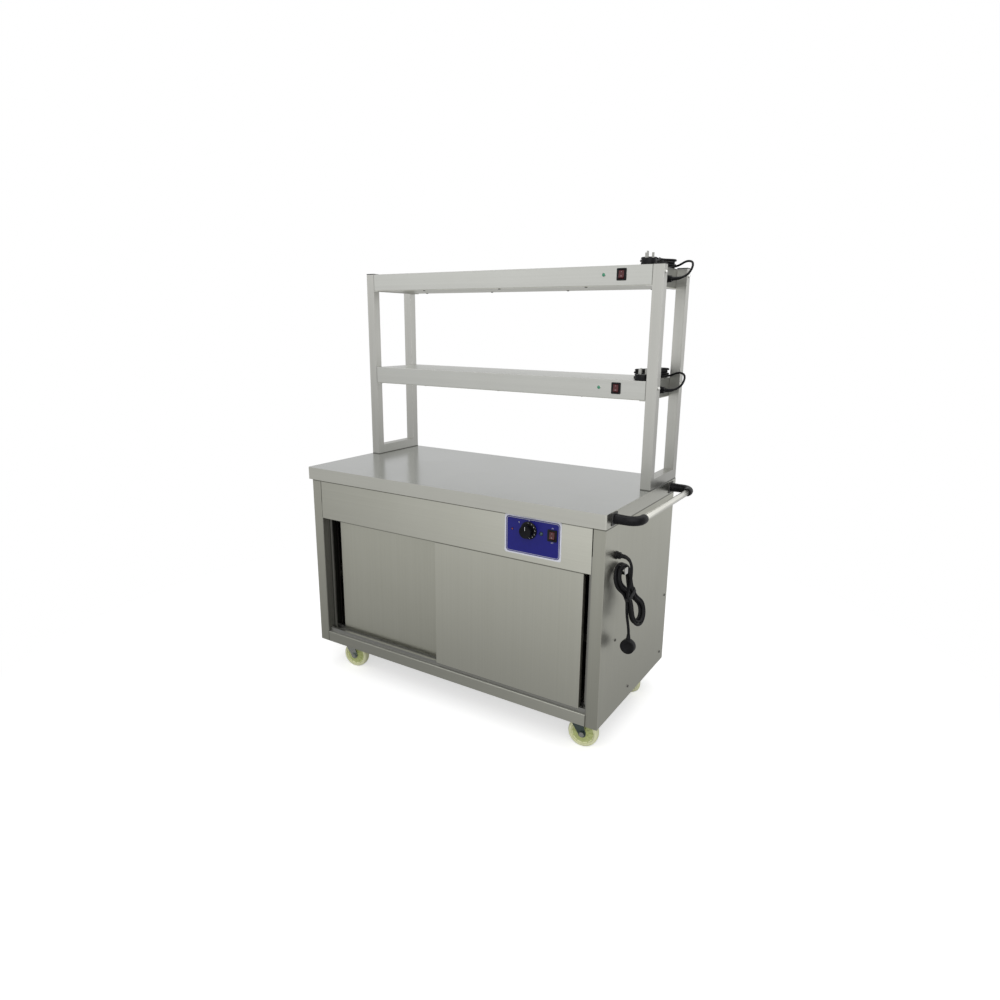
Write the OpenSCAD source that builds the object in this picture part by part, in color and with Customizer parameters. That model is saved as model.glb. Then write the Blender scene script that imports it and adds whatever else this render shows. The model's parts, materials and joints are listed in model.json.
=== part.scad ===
// Mobile hot cupboard with two sliding doors, a two tier heated gantry,
// a push handle and four swivel castors.
// Millimetres, +Z up, front towards -Y. Origin on the floor under the middle of the overall box.

/* [Worktop and body] */
// Width of the worktop
top_w = 1200; // [1000:10:1500]
// Depth of the worktop
top_d = 600; // [540:10:750]
// Height of the worktop above the floor
top_z = 800; // [760:5:920]
// Height of the turned down edge of the worktop
edge_h = 45; // [35:1:60]
// Radius of the worktop's upright corners
corner_r = 6; // [3:1:15]
// Thickness of the steel sheet
sheet = 1.5; // [1.2:0.1:2]
// How far the side panels stand back from the worktop's ends
side_inset = 5; // [2:1:15]
// How far the front stands back from the worktop's front edge
front_inset = 15; // [10:1:25]
// Height of the body's lower edge above the floor
body_z = 105; // [104:1:115]
// Width of the front return of each side panel
post_w = 40; // [35:1:50]
// Width of the small folded flanges
flange = 20; // [12:1:25]
// Height of the front panel above the doors
fascia_h = 148; // [140:1:160]
// Gap between each end of the front panel and its side panel
fascia_gap = 2.5; // [0:0.5:2.5]
// Height of the bottom rail
rail_h = 40; // [36:1:50]
// Height of the inner shelf above the floor
shelf_in_z = 380; // [300:5:500]
// Height of the plate over the heating element above the cupboard floor
cover_h = 41; // [34:1:60]

/* [Doors] */
// Width of each sliding door
door_w = 556; // [556:1:562]
// Thickness of each door
door_t = 20; // [18:0.5:21]
// Thickness of the door's skins
skin = 1.2; // [1:0.1:1.5]
// Gap between the bottom rail's top and a door's lower edge
door_foot = 12; // [10:0.5:13]
// How far a door reaches up behind the front panel
door_lap = 18; // [10:1:20]
// How far the left door stands open
left_open = 47; // [0:1:300]
// How far the right door stands open
right_open = 22; // [0:1:300]
// Width of the raised guide rib under each door
rib_w = 10; // [6:0.5:10.5]
// Height of the raised guide rib
rib_h = 13.5; // [13:0.1:15]
// Diameter of the hanger rollers
roller_d = 18; // [12:1:20]

/* [Controls] */
// Width of the control plate
plate_w = 199; // [190:1:210]
// Height of the control plate
plate_h = 125; // [115:1:130]
// Distance from the middle of the front to the plate's left edge
plate_x = 254; // [200:1:300]
// Thickness of the control plate
plate_t = 1; // [0.8:0.1:2]
// Diameter of the thermostat knob
knob_d = 56; // [40:1:58]
// Height of the thermostat knob
knob_h = 26; // [15:1:30]
// Diameter of the knob's shaft
shaft_d = 6; // [5:0.5:8]
// Width of a switch bezel
bezel_w = 32; // [30:1:36]
// Height of a switch bezel
bezel_h = 37; // [35:1:42]
// Depth of a switch behind its bezel
switch_depth = 22; // [18:1:28]
// Diameter of an indicator lamp
lamp_d = 13; // [9:1:16]
// How far a rocker tips from one side to the other
rocker_tip = 16; // [8:1:18]

/* [Gantry] */
// Height of the gantry above the worktop
gantry_h = 700; // [600:10:800]
// Height of the lower shelf's top above the worktop
tier_h = 350; // [280:10:420]
// Depth of the gantry
gantry_d = 250; // [244:1:300]
// How far the gantry stands in from the worktop's ends
gantry_inset = 3; // [0:1:10]
// Width of a gantry post across the front
post_x = 35; // [30:1:40]
// Depth of a gantry post
post_y = 30; // [25:1:40]
// Height of the rail at the foot of each pair of posts
foot_h = 35; // [25:1:45]
// Wall of the posts and foot rails
tube_wall = 1.5; // [1.2:0.1:2.5]
// Thickness of a heated shelf
tier_t = 60; // [50:1:70]
// Thickness of the sheet of the heated shelves
tier_sheet = 1.2; // [1:0.1:1.5]
// Width of the ledge that carries each end of a shelf
ledge_w = 20; // [12:1:30]

/* [Push handle] */
// Distance from the worktop's end to the middle of the grip
handle_out = 73; // [60:1:90]
// Diameter of the handle's tube
grip_d = 20; // [16:1:24]
// Diameter of the handle's end fittings
elbow_d = 29; // [26:1:32]
// Distance from the worktop's front edge to the first handle fitting
handle_y = 56; // [45:1:80]
// Side of the square plate behind each fitting
pad_s = 38; // [32:1:44]

/* [Castors] */
// Diameter of a castor wheel
wheel_d = 100; // [90:1:100]
// Width of a castor wheel
wheel_w = 30; // [25:1:34]
// Distance between a castor's swivel and its axle
trail = 30; // [28:1:42]
// Height of a castor from the floor to the top of its plate
castor_h = 127; // [126:0.5:130]
// Distance from a worktop end to a castor's swivel
castor_in = 105; // [100:5:180]
// Distance from the worktop's front edge to the front castors
castor_front = 70; // [68:1:120]
// Distance from the worktop's back edge to the rear castors
castor_back = 100; // [68:1:140]
// Diameter of the axle
axle_d = 12; // [8:1:14]

/* [Cords] */
// Diameter of the cupboard's supply cord
main_d = 8.5; // [8:0.5:9]
// Diameter of a heated shelf's cord
tier_d = 7; // [6:0.5:7]
// Length of the straight runs of the cupboard's hank
main_run = 130; // [125:1:140]
// Length of the straight runs of a shelf's hank
tier_run = 105; // [100:1:108]
// Radius of the tightest fold of the cupboard's hank
main_fold = 25.5; // [25:0.5:28]
// Radius of the tightest fold of a shelf's hank
tier_fold = 21; // [19:0.5:21.5]
// Clear gap between neighbouring turns
turn_gap = 0.75; // [0.65:0.05:0.9]
// Lean of the cupboard's hank towards the back
hank_lean = 21; // [18:1:24]
// Tilt of the cupboard's hank away from the side panel
hank_tilt = 14; // [12:1:16]
// How far the shelf hanks are turned on the shelf
hank_turn = 12; // [10:1:14]
// Thickness of a plug's body
plug_t = 19; // [18:0.5:21]

/* [Hidden] */
$fn = 48;

// running gap between pieces that pass each other
gap = 0.3;
// radial clearance of a turning fit
fit = 0.06;
ax = top_w / 2;
bx = ax - side_inset;
in_x = bx - sheet;
front_y = front_inset;
back_y = top_d;
top_under = top_z - edge_h;
fascia_z = top_under - fascia_h;
rail_z = body_z + rail_h;
open_x = bx - post_w;
stop_x = open_x - 3;
pan_z = castor_h;
floor_z = pan_z + sheet;

// door planes
door_gap_y = 3.5;
door_y1 = front_y + sheet + door_gap_y;
door_y2 = door_y1 + door_t + 14;
door_z = rail_z + door_foot;
door_top = fascia_z + door_lap;
door_h = door_top - door_z;
mid1 = door_y1 + door_t / 2;
mid2 = door_y2 + door_t / 2;
left_x = -stop_x + 3 + left_open;
right_x = stop_x - 3 - door_w - right_open;
track_front = front_y + sheet;
track_mid = (mid1 + mid2) / 2;
track_back = door_y2 + door_t + 2;
track_z = door_top + 9;
lip_top = track_z + sheet;
roll_z = lip_top + gap + roller_d / 2;
track_in = 26;
track_top = track_z + track_in;
track_end = in_x - 3.5;
slot_w = 8;
stem_t = 3;
rib_top = rail_z + sheet + rib_h;

// control positions on the front
plate_z = fascia_z + 19;
plate_y = front_y - plate_t;
knob_x = plate_x + 87;
knob_z = fascia_z + 102;
lamp_x = plate_x + 130;
lamp_z = fascia_z + 98;
spy_x = plate_x + 28;
spy_d = 7;
sw_x = plate_x + 168;
sw_z = fascia_z + 98;
bezel_t = 2.5;
hole_w = bezel_w - 5;
hole_h = bezel_h - 6;
rock_w = hole_w - 9.6;
rock_r = (hole_h - 5.6) / 2;
pivot_in = 2.5;

// gantry
gx = ax - gantry_inset;
gi = gx - post_x;
gy = top_d - gantry_d;
tiers = [top_z + gantry_h, top_z + tier_h];
tier_lamp_x = 401;
tier_sw_x = 461;
cap_t = 3;
nut_r = 6;
nut_h = 6;
bolt_drop = 22;
base_t = tier_sheet;

// castors, in the order front left, front right, rear left, rear right
castor_x = ax - castor_in;
castor_at = [[-castor_x, castor_front], [castor_x, castor_front],
  [-castor_x, top_d - castor_back], [castor_x, top_d - castor_back]];
castor_turn = [10, 8, 20, -35];
axle_z = wheel_d / 2;
plate_t2 = 3;
head_r = 25;
head_h = 5;
crown_z = castor_h - plate_t2 - head_h - gap;
crown_h = 11.5;
pin_r = 6;
leg_t = 3;
leg_in = wheel_w / 2 + 2;

// push handle
handle_z = top_z - edge_h / 2;
pad_t = 3;
elbow_r = 33;
socket = 14;
handle_y2 = top_d - handle_y;

// cords
glands = [[bx, 95, 655], [gi, 478, tiers[0] - 36], [gi, 478, tiers[1] - 36]];
gland_l = 20;
hook_y = 102;
hook_z = 602;
hook_w = 20;
hook_t = 3;
main_pitch = main_d + turn_gap;
tier_pitch = tier_d + turn_gap;
main_turns = 4;
tier_turns = 4;
plug_r = 23;
plug_in = 10;
plug_neck = 15;
pin_long = 20.5;

// footprint used to set the origin
left_reach = gx + nut_h;
right_reach = ax + handle_out + elbow_d / 2;
origin_x = (right_reach - left_reach) / 2;
front_reach = plate_y - 0.5 - knob_h;
origin_y = (min(front_reach, 0) + top_d) / 2;

module place() { translate([-origin_x, -origin_y, 0]) children(); }

// box given by its low corner and its high corner
module box(a, b) { translate(a) cube(b - a); }

// both sides of the body
module both() { children(); mirror([1, 0, 0]) children(); }

// outline of a rectangle with round corners, low corner at the origin
module round_rect(w, d, r) {
  translate([r, 0]) square([w - 2 * r, d]);
  translate([0, r]) square([w, d - 2 * r]);
  for (x = [r, w - r], y = [r, d - r]) translate([x, y]) circle(r);
}

// profile in the Y and Z directions carried along X from x0 to x1
module along_x(x0, x1) {
  translate([x0, 0, 0]) rotate([90, 0, 90]) linear_extrude(x1 - x0) children();
}

module rect(y0, y1, z0, z1) { translate([y0, z0]) square([y1 - y0, z1 - z0]); }

module worktop() {
  color("silver") difference() {
    translate([-ax, 0, top_under]) linear_extrude(edge_h) round_rect(top_w, top_d, corner_r);
    translate([-ax + sheet, sheet, top_under + sheet])
      linear_extrude(edge_h - 2 * sheet) round_rect(top_w - 2 * sheet, top_d - 2 * sheet, corner_r - sheet);
    box([-ax + sheet + flange, sheet + flange, top_under - 1],
      [ax - sheet - flange, top_d - sheet - flange, top_under + 2 * sheet]);
  }
}

// side sheet with its front return, rear return and small flanges, drawn on the right
module side_sheet() {
  box([in_x, front_y, body_z], [bx, back_y, top_under]);
  box([open_x, front_y, body_z], [bx, front_y + sheet, top_under]);
  box([in_x - flange, back_y - sheet, body_z], [bx, back_y, top_under]);
  box([in_x - flange, front_y, top_under - sheet], [bx, back_y, top_under]);
  box([in_x - flange, front_y, body_z], [bx, back_y, body_z + sheet]);
}

module side_panel_left() { color("silver") mirror([1, 0, 0]) side_sheet(); }

module side_panel_right() {
  color("silver") difference() {
    side_sheet();
    translate([in_x - 1, glands[0][1], glands[0][2]]) rotate([0, 90, 0]) cylinder(r = 8.2, h = sheet + 2);
  }
}

module back_panel() {
  color("silver") union() {
    box([-in_x, back_y - 2 * sheet, body_z + sheet], [in_x, back_y - sheet, top_under - sheet]);
    box([-in_x + flange + 3, back_y - 2 * sheet - flange, top_under - sheet],
      [in_x - flange - 3, back_y - sheet, top_under]);
  }
}

// hole in the front for a round piece
module front_hole(x, z, r) {
  translate([x, front_y - 5, z]) rotate([-90, 0, 0]) cylinder(r = r, h = 10);
}

module front_cut(x, z, w, h) { box([x - w / 2, front_y - 5, z - h / 2], [x + w / 2, front_y + 5, z + h / 2]); }

module fascia() {
  x = open_x - fascia_gap;
  color("silver") difference() {
    union() {
      box([-x, front_y, fascia_z], [x, front_y + sheet, top_under]);
      box([-x, front_y, top_under - sheet], [x, front_y + flange, top_under]);
    }
    front_hole(knob_x, knob_z, 5.4);
    front_hole(lamp_x, lamp_z, lamp_d / 2 - 1.2);
    front_hole(spy_x, lamp_z, spy_d / 2 - 0.7);
    front_cut(sw_x, sw_z, hole_w + 0.4, hole_h + 0.4);
  }
}

module bottom_rail() {
  color("silver") union() {
    box([-open_x, front_y, body_z], [open_x, front_y + sheet, rail_z]);
    box([-in_x + sheet, front_y + sheet, rail_z - sheet], [in_x - sheet, track_back + sheet + 4.5, rail_z]);
    box([-open_x, front_y, rail_z - sheet], [open_x, front_y + 4, rail_z]);
    box([-open_x, front_y, body_z], [open_x, front_y + flange, body_z + sheet]);
  }
}

module base_pan() {
  y0 = track_back + 4.5;
  color("silver") union() {
    box([-in_x, y0, pan_z], [in_x, back_y - 2 * sheet, floor_z]);
    both() box([in_x - sheet, y0, pan_z], [in_x, back_y - 2 * sheet, pan_z + 28]);
    box([-in_x, y0, pan_z], [in_x, y0 + sheet, rail_z - sheet]);
    box([-in_x, back_y - 3 * sheet, pan_z], [in_x, back_y - 2 * sheet, pan_z + 28]);
  }
}

// folded rib of the bottom track
module rib(y) {
  difference() {
    rect(y - rib_w / 2, y + rib_w / 2, rail_z, rib_top);
    rect(y - rib_w / 2 + skin, y + rib_w / 2 - skin, rail_z - 1, rib_top - skin);
  }
}

// top track from which the doors hang, and bottom track with its two guide ribs
module door_tracks() {
  color("darkgray") along_x(-track_end, track_end) {
    rect(track_front, track_front + sheet, track_z, track_top + sheet);
    rect(track_mid - 1, track_mid + 1, track_z, track_top + sheet);
    rect(track_back, track_back + sheet, track_z, track_top + sheet);
    rect(track_front, track_back + sheet, track_top, track_top + sheet);
    rect(track_front, mid1 - slot_w / 2, track_z, lip_top);
    rect(mid1 + slot_w / 2, mid2 - slot_w / 2, track_z, lip_top);
    rect(mid2 + slot_w / 2, track_back + sheet, track_z, lip_top);
  }
  color("darkgray") along_x(-stop_x + 1, stop_x - 1) {
    rect(track_front + 0.5, mid1 - rib_w / 2 + skin, rail_z, rail_z + sheet);
    rect(mid1 + rib_w / 2 - skin, mid2 - rib_w / 2 + skin, rail_z, rail_z + sheet);
    rect(mid2 + rib_w / 2 - skin, track_back + sheet + 4.5, rail_z, rail_z + sheet);
    rib(mid1);
    rib(mid2);
  }
}

// upright channels that the doors close into, with a divider between the two doors
module door_jambs() {
  z0 = rail_z + sheet;
  tip = stop_x - 16;
  wide = 8;
  color("gray") both() translate([0, 0, z0]) linear_extrude(track_z - gap - z0) {
    translate([stop_x, track_front]) square([skin, track_back - track_front + skin]);
    translate([stop_x, track_front]) square([in_x - stop_x - 1, skin]);
    translate([tip, track_back]) square([in_x - 1 - tip, skin]);
    difference() {
      translate([tip, track_mid - wide / 2]) square([stop_x - tip + skin, wide]);
      translate([tip + skin, track_mid - wide / 2 + skin]) square([stop_x - tip, wide - 2 * skin]);
    }
  }
}

// folded plate that parts the controls from the heated space
module heat_shield() {
  x = in_x - flange - 3.5;
  y = front_y + 125;
  color("lightgray") union() {
    box([-x, track_front, track_top + sheet], [x, y, track_top + sheet + skin]);
    box([-x, y - skin, track_top + sheet], [x, y, top_z - sheet]);
  }
}

module inner_shelf() {
  x = in_x - 3.5;
  y0 = track_back + 8;
  y1 = back_y - 10;
  z = shelf_in_z;
  color("silver") union() {
    box([-x, y0, z], [x, y1, z + sheet]);
    box([-x, y0, z - 25], [x, y0 + sheet, z + sheet]);
    box([-x, y1 - sheet, z - 25], [x, y1, z + sheet]);
  }
}

module shelf_runners() {
  z = shelf_in_z;
  color("darkgray") both() {
    box([in_x - 2, track_back + 24, z - 25], [in_x, back_y - 15, z]);
    box([in_x - 25, track_back + 24, z - 2], [in_x, back_y - 15, z]);
  }
}

// sheathed element bent into a long loop, on three carrier straps
module heating_element() {
  r = 4;
  turn = 80;
  yc = top_d / 2 + 40;
  x0 = -ax + 150;
  x1 = ax - 200;
  z = floor_z + 16;
  color("dimgray") union() {
    for (s = [-1, 1]) translate([x0, yc + s * turn, z]) rotate([0, 90, 0]) cylinder(r = r, h = x1 - x0);
    translate([x1, yc, z]) intersection() {
      rotate_extrude() translate([turn, 0]) circle(r);
      translate([0, -turn - 10, -10]) cube([turn + 10, 2 * turn + 20, 20]);
    }
    for (x = [-ax + 250, 0, ax - 250]) box([x, yc - turn - 15, floor_z], [x + 12, yc + turn + 15, z - 1]);
  }
}

// raised plate with slots over the element
module element_cover() {
  x = bx - 50;
  y0 = front_y + 95;
  y1 = back_y - 20;
  z = floor_z + cover_h;
  slot_x = x / 9.5;
  slot_y = (y1 - y0 - 170) / 2;
  color("silver") difference() {
    box([-x, y0, floor_z], [x, y1, z]);
    box([-x + skin, y0 + skin, floor_z - 1], [x - skin, y1 - skin, z - skin]);
    for (i = [-8:2:8], j = [0:2])
      translate([i * slot_x - 35, y0 + 70 + j * slot_y, z - 5]) cube([70, 8, 6]);
  }
}

module thermostat() {
  color("gainsboro") difference() {
    union() {
      box([knob_x - 18, front_y + sheet, knob_z - 18], [knob_x + 18, front_y + sheet + 26, knob_z + 18]);
      translate([knob_x, plate_y, knob_z]) rotate([-90, 0, 0]) cylinder(r = 5, h = front_y + sheet - plate_y + 1);
    }
    translate([knob_x, plate_y - 1, knob_z]) rotate([-90, 0, 0]) cylinder(d = shaft_d + 2 * fit, h = 22);
  }
}

module control_plate() {
  color("midnightblue") difference() {
    translate([plate_x, front_y, plate_z]) rotate([90, 0, 0]) linear_extrude(plate_t) round_rect(plate_w, plate_h, 7);
    front_hole(knob_x, knob_z, 5.4);
    front_hole(lamp_x, lamp_z, lamp_d / 2 - 1.2);
    front_hole(spy_x, lamp_z, spy_d / 2 - 0.7);
    front_cut(sw_x, sw_z, hole_w + 0.4, hole_h + 0.4);
  }
}

// switch bezel with its body, face at the local Y of zero, front towards -Y
module bezel() {
  difference() {
    union() {
      translate([-bezel_w / 2, 0, -bezel_h / 2]) rotate([90, 0, 0]) linear_extrude(bezel_t) round_rect(bezel_w, bezel_h, 3);
      box([-hole_w / 2, 0, -hole_h / 2], [hole_w / 2, switch_depth, hole_h / 2]);
    }
    box([-rock_w / 2 - gap, -bezel_t - 1, -rock_r - gap], [rock_w / 2 + gap, pivot_in + 8, rock_r + gap]);
  }
}

// rocker about its own pivot, which lies at the origin
module rocker() {
  rotate([-rocker_tip / 2, 0, 0]) intersection() {
    rotate([0, 90, 0]) cylinder(r = rock_r, h = rock_w, center = true);
    along_x(-rock_w / 2, rock_w / 2)
      polygon([[-7.5, -rock_r - 1], [-5.6, 0], [-7.5, rock_r + 1], [3, rock_r + 1], [3, -rock_r - 1]]);
  }
}

// where the three switches sit: the middle of each bezel's seat
switch_at = [[sw_x, plate_y, sw_z], [tier_sw_x, gy, tiers[0] - tier_t / 2 + 3], [tier_sw_x, gy, tiers[1] - tier_t / 2 + 3]];

module rocker_bezels() { color("black") for (p = switch_at) translate(p) bezel(); }

module rocker_at(i) { color("red") translate(switch_at[i] + [0, pivot_in, 0]) rocker(); }

module rocker_main() { rocker_at(0); }

module rocker_upper() { rocker_at(1); }

module rocker_lower() { rocker_at(2); }

// lamp with its domed lens in front and its body behind
module lamp(d) {
  rotate([90, 0, 0]) {
    cylinder(d = d, h = 1.5);
    translate([0, 0, 1.5]) cylinder(d1 = d - 1, d2 = d - 4, h = 1.5);
    translate([0, 0, -16]) cylinder(r = d / 2 - 1.2 - gap, h = 16.5);
  }
}

module indicator_lamps() {
  color("limegreen") {
    translate([lamp_x, plate_y, lamp_z]) lamp(lamp_d);
    for (t = tiers) translate([tier_lamp_x, gy, t - tier_t / 2 + 3]) lamp(lamp_d);
  }
  color("red") translate([spy_x, plate_y, lamp_z]) rotate([90, 0, 0]) {
    cylinder(d = spy_d, h = 1.2);
    translate([0, 0, -12]) cylinder(r = spy_d / 2 - 0.7 - gap, h = 12.5);
  }
}

// knob with its shaft
module knob() {
  r = knob_d / 2;
  color("black") translate([knob_x, plate_y - 0.5, knob_z]) rotate([90, 0, 0]) {
    rotate_extrude($fn = 64) polygon([[0, 0], [r, 0], [r, 3], [r - 3, 5], [r - 4.5, knob_h - 1.5], [r - 6, knob_h], [0, knob_h]]);
    translate([0, 0, -19]) cylinder(d = shaft_d, h = 20);
  }
}

// hollow double skinned door with a groove in its lower edge, low corner at the origin
module door() {
  color("silver") difference() {
    cube([door_w, door_t, door_h]);
    translate([skin, skin, 8]) cube([door_w - 2 * skin, door_t - 2 * skin, door_h - 8 - skin]);
    translate([-1, door_t / 2 - rib_w / 2 - 1, -1]) cube([door_w + 2, rib_w + 2, 6]);
    for (x = [60, door_w - 60]) translate([x, door_t / 2, door_h - 5]) cylinder(r = 3, h = 10);
  }
}

// two hanger brackets with their roller pairs, door's low corner at the origin
module hangers() {
  m = door_t / 2;
  for (x = [110, door_w - 110]) translate([x, m, 0]) {
    color("gray") difference() {
      union() {
        box([-20, -8, door_h], [20, 8, door_h + 3]);
        box([-10, -stem_t / 2, door_h], [10, stem_t / 2, roll_z - door_z + 6]);
      }
      translate([0, -10, roll_z - door_z]) rotate([-90, 0, 0]) cylinder(r = 3.1, h = 20);
    }
    color("white") translate([0, 0, roll_z - door_z]) rotate([-90, 0, 0]) {
      translate([0, 0, -8]) cylinder(r = 3, h = 16);
      for (s = [-1, 1]) translate([0, 0, s * (stem_t / 2 + gap + 3.4) - 3.4]) cylinder(d = roller_d, h = 6.8);
    }
  }
}

module door_left() { translate([left_x, door_y2, door_z]) door(); }

module door_left_hangers() { translate([left_x, door_y2, door_z]) hangers(); }

module door_right() { translate([right_x, door_y1, door_z]) door(); }

module door_right_hangers() { translate([right_x, door_y1, door_z]) hangers(); }

// one pair of posts welded to a foot rail and to the ledges under the shelves, drawn on the right
module gantry_frame() {
  top = tiers[0];
  w = tube_wall;
  difference() {
    union() {
      for (y = [gy, back_y - post_y]) box([gi, y, top_z], [gx, y + post_y, top]);
      box([gi, gy, top_z], [gx, back_y, top_z + foot_h]);
      for (t = tiers) box([gi - ledge_w, gy, t - tier_t - base_t - 2], [gi + 0.5, back_y, t - tier_t - base_t]);
    }
    for (y = [gy, back_y - post_y]) box([gi + w, y + w, top_z - 1], [gx - w, y + post_y - w, top + 1]);
    box([gi + w, gy + post_y, top_z + w], [gx - w, back_y - post_y, top_z + foot_h - w]);
  }
}

module gantry_frame_left() { color("silver") mirror([1, 0, 0]) gantry_frame(); }

module gantry_frame_right() { color("silver") gantry_frame(); }

module post_caps() {
  w = tube_wall + gap;
  color("black") both() for (y = [gy, back_y - post_y]) {
    box([gi, y, tiers[0]], [gx, y + post_y, tiers[0] + cap_t]);
    box([gi + w, y + w, tiers[0] - 12], [gx - w, y + post_y - w, tiers[0] + 0.5]);
  }
}

// heated shelf: top and four sides folded from one sheet, top face at the height z
module heated_shelf(z) {
  t = tier_sheet;
  color("silver") difference() {
    box([-gi, gy, z - tier_t], [gi, back_y, z]);
    box([-gi + t, gy + t, z - tier_t - 1], [gi - t, back_y - t, z - t]);
    translate([tier_lamp_x, gy - 5, z - tier_t / 2 + 3]) rotate([-90, 0, 0]) cylinder(r = lamp_d / 2 - 1.2, h = 10);
    translate([tier_sw_x, gy, z - tier_t / 2 + 3])
      box([-hole_w / 2 - 0.2, -5, -hole_h / 2 - 0.2], [hole_w / 2 + 0.2, 5, hole_h / 2 + 0.2]);
    translate([gi - 5, glands[1][1], z - 36]) rotate([0, 90, 0]) cylinder(r = 8.2, h = 10);
  }
}

module upper_shelf() { heated_shelf(tiers[0]); }

module lower_shelf() { heated_shelf(tiers[1]); }

module shelf_bases() {
  color("silver") for (t = tiers) box([-gi + gap, gy + 0.5, t - tier_t - base_t], [gi - gap, back_y - 0.5, t - tier_t]);
}

module shelf_heaters() {
  color("goldenrod") for (t = tiers)
    box([-gi + 60, gy + 45, t - tier_sheet - 3], [gi - 60, back_y - 20, t - tier_sheet]);
}

// dome nuts on the outer faces of the posts, at the ends of the shelves
module dome_nuts() {
  color("silver") both() for (t = tiers, y = [gy + post_y / 2, back_y - post_y / 2])
    translate([gx, y, t - bolt_drop]) rotate([0, 90, 0]) {
      cylinder(r = nut_r, h = 2);
      rotate_extrude() intersection() {
        translate([0, 1]) circle(nut_r - 1);
        square([nut_r, nut_h]);
      }
    }
}

// pan head screw, its seat at the origin and its head towards +Z
module pan_screw() {
  rotate_extrude() polygon([[0, 0], [4.5, 0], [4.5, 1], [3.5, 2.2], [0, 2.5]]);
}

module panel_screws() {
  color("silver") {
    both() for (p = [[front_y + 109, shelf_in_z - 13], [back_y - 26, shelf_in_z - 13],
        [front_y + 242, pan_z + 19], [back_y - 39, pan_z + 19]])
      translate([bx, p[0], p[1]]) rotate([0, 90, 0]) pan_screw();
    for (t = tiers) translate([0, 0, t - tier_t - base_t]) mirror([0, 0, 1]) {
      for (x = [-0.59, 0, 0.59] * gi) translate([x, gy + 20, 0]) pan_screw();
      for (x = [-0.85, -0.29, 0.29, 0.85] * gi) translate([x, back_y - 25, 0]) pan_screw();
    }
  }
}

module handle_pads() {
  color("gray") for (y = [handle_y, handle_y2])
    box([ax, y - pad_s / 2, handle_z - pad_s / 2], [ax + pad_t, y + pad_s / 2, handle_z + pad_s / 2]);
}

// end fitting of the handle at the front: out of the pad, round a bend and along +Y
module elbow() {
  x0 = ax + pad_t;
  x1 = ax + handle_out - elbow_r;
  r = elbow_d / 2;
  difference() {
    union() {
      translate([x0, 0, 0]) rotate([0, 90, 0]) cylinder(r = r, h = x1 - x0);
      translate([x1, elbow_r, 0]) intersection() {
        rotate_extrude() translate([elbow_r, 0]) circle(r);
        translate([0, -elbow_r - r - 1, -r - 1]) cube([elbow_r + r + 1, elbow_r + r + 1, 2 * r + 2]);
      }
      translate([x1 + elbow_r, elbow_r, 0]) rotate([-90, 0, 0]) cylinder(r = r, h = socket + 2);
    }
    translate([x1 + elbow_r, elbow_r + 2, 0]) rotate([-90, 0, 0]) cylinder(d = grip_d + 2 * gap, h = socket + 2);
  }
}

module handle_elbows() {
  color("black") {
    translate([0, handle_y, handle_z]) elbow();
    translate([0, handle_y2, handle_z]) mirror([0, 1, 0]) elbow();
  }
}

module handle_tube() {
  y0 = handle_y + elbow_r + 2 + gap;
  y1 = handle_y2 - elbow_r - 2 - gap;
  color("gainsboro") translate([ax + handle_out, y0, handle_z]) rotate([-90, 0, 0]) difference() {
    cylinder(d = grip_d, h = y1 - y0);
    translate([0, 0, -1]) cylinder(d = grip_d - 3, h = y1 - y0 + 2);
  }
}

// fixed half of a castor: top plate, bearing head, king pin with its nut, and four bolts
module castor_plate() {
  z = castor_h - plate_t2;
  box([-51, -42.5, z], [51, 42.5, castor_h]);
  translate([0, 0, z - head_h]) cylinder(r = head_r, h = head_h + 0.5);
  translate([0, 0, crown_z - crown_h - 2]) cylinder(r = pin_r, h = crown_h + 4);
  translate([0, 0, crown_z - crown_h - gap - 5]) cylinder(r = 10, h = 5);
  for (x = [-40, 40], y = [-32, 32]) translate([x, y, z - 5]) cylinder(r = 7.2, h = 5.2, $fn = 6);
}

module castor_plates() {
  color("gray") for (p = castor_at) translate([p[0], p[1], 0]) castor_plate();
}

// side outline of a fork leg, trailing towards +X
module leg_outline(c) {
  difference() {
    union() {
      polygon([[-20, c], [24, c], [trail + 13, axle_z + 4], [trail + 13, axle_z - 2], [trail - 13, axle_z - 2]]);
      translate([trail, axle_z]) circle(13);
    }
    translate([trail, axle_z]) circle(axle_d / 2 + 0.1);
  }
}

// swivelling fork with its axle, swivel at the origin
module castor_fork() {
  c = crown_z - crown_h;
  color("lightslategray") {
    difference() {
      translate([0, 0, c]) cylinder(r = 27, h = crown_h);
      translate([0, 0, c - 1]) cylinder(r = pin_r + fit, h = crown_h + 2);
    }
    for (s = [-1, 1]) translate([0, s * (leg_in + leg_t / 2) + leg_t / 2, 0]) rotate([90, 0, 0])
      linear_extrude(leg_t) leg_outline(c + 0.5);
  }
  color("silver") translate([trail, 0, axle_z]) rotate([90, 0, 0]) {
    cylinder(d = axle_d, h = 2 * (leg_in + leg_t) + 1, center = true);
    for (s = [-1, 1]) translate([0, 0, s * (leg_in + leg_t + 3)]) cylinder(r = axle_d / 2 + 3.5, h = 6, $fn = 6, center = true);
  }
}

module castor_wheel() {
  r = wheel_d / 2;
  w = wheel_w / 2;
  b = axle_d / 2 + fit;
  color("beige") translate([trail, 0, axle_z]) rotate([90, 0, 0]) rotate_extrude($fn = 96)
    polygon([[b, -w - 1.5], [14, -w - 1.5], [16, -w + 4], [r - 12, -w + 4], [r - 8, -w], [r - 4, -w], [r, -w + 5],
      [r, w - 5], [r - 4, w], [r - 8, w], [r - 12, w - 4], [16, w - 4], [14, w + 1.5], [b, w + 1.5]]);
}

module at_castor(i) {
  translate([castor_at[i][0], castor_at[i][1], 0]) rotate([0, 0, castor_turn[i]]) children();
}

module castor_fork_fl() { at_castor(0) castor_fork(); }

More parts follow.
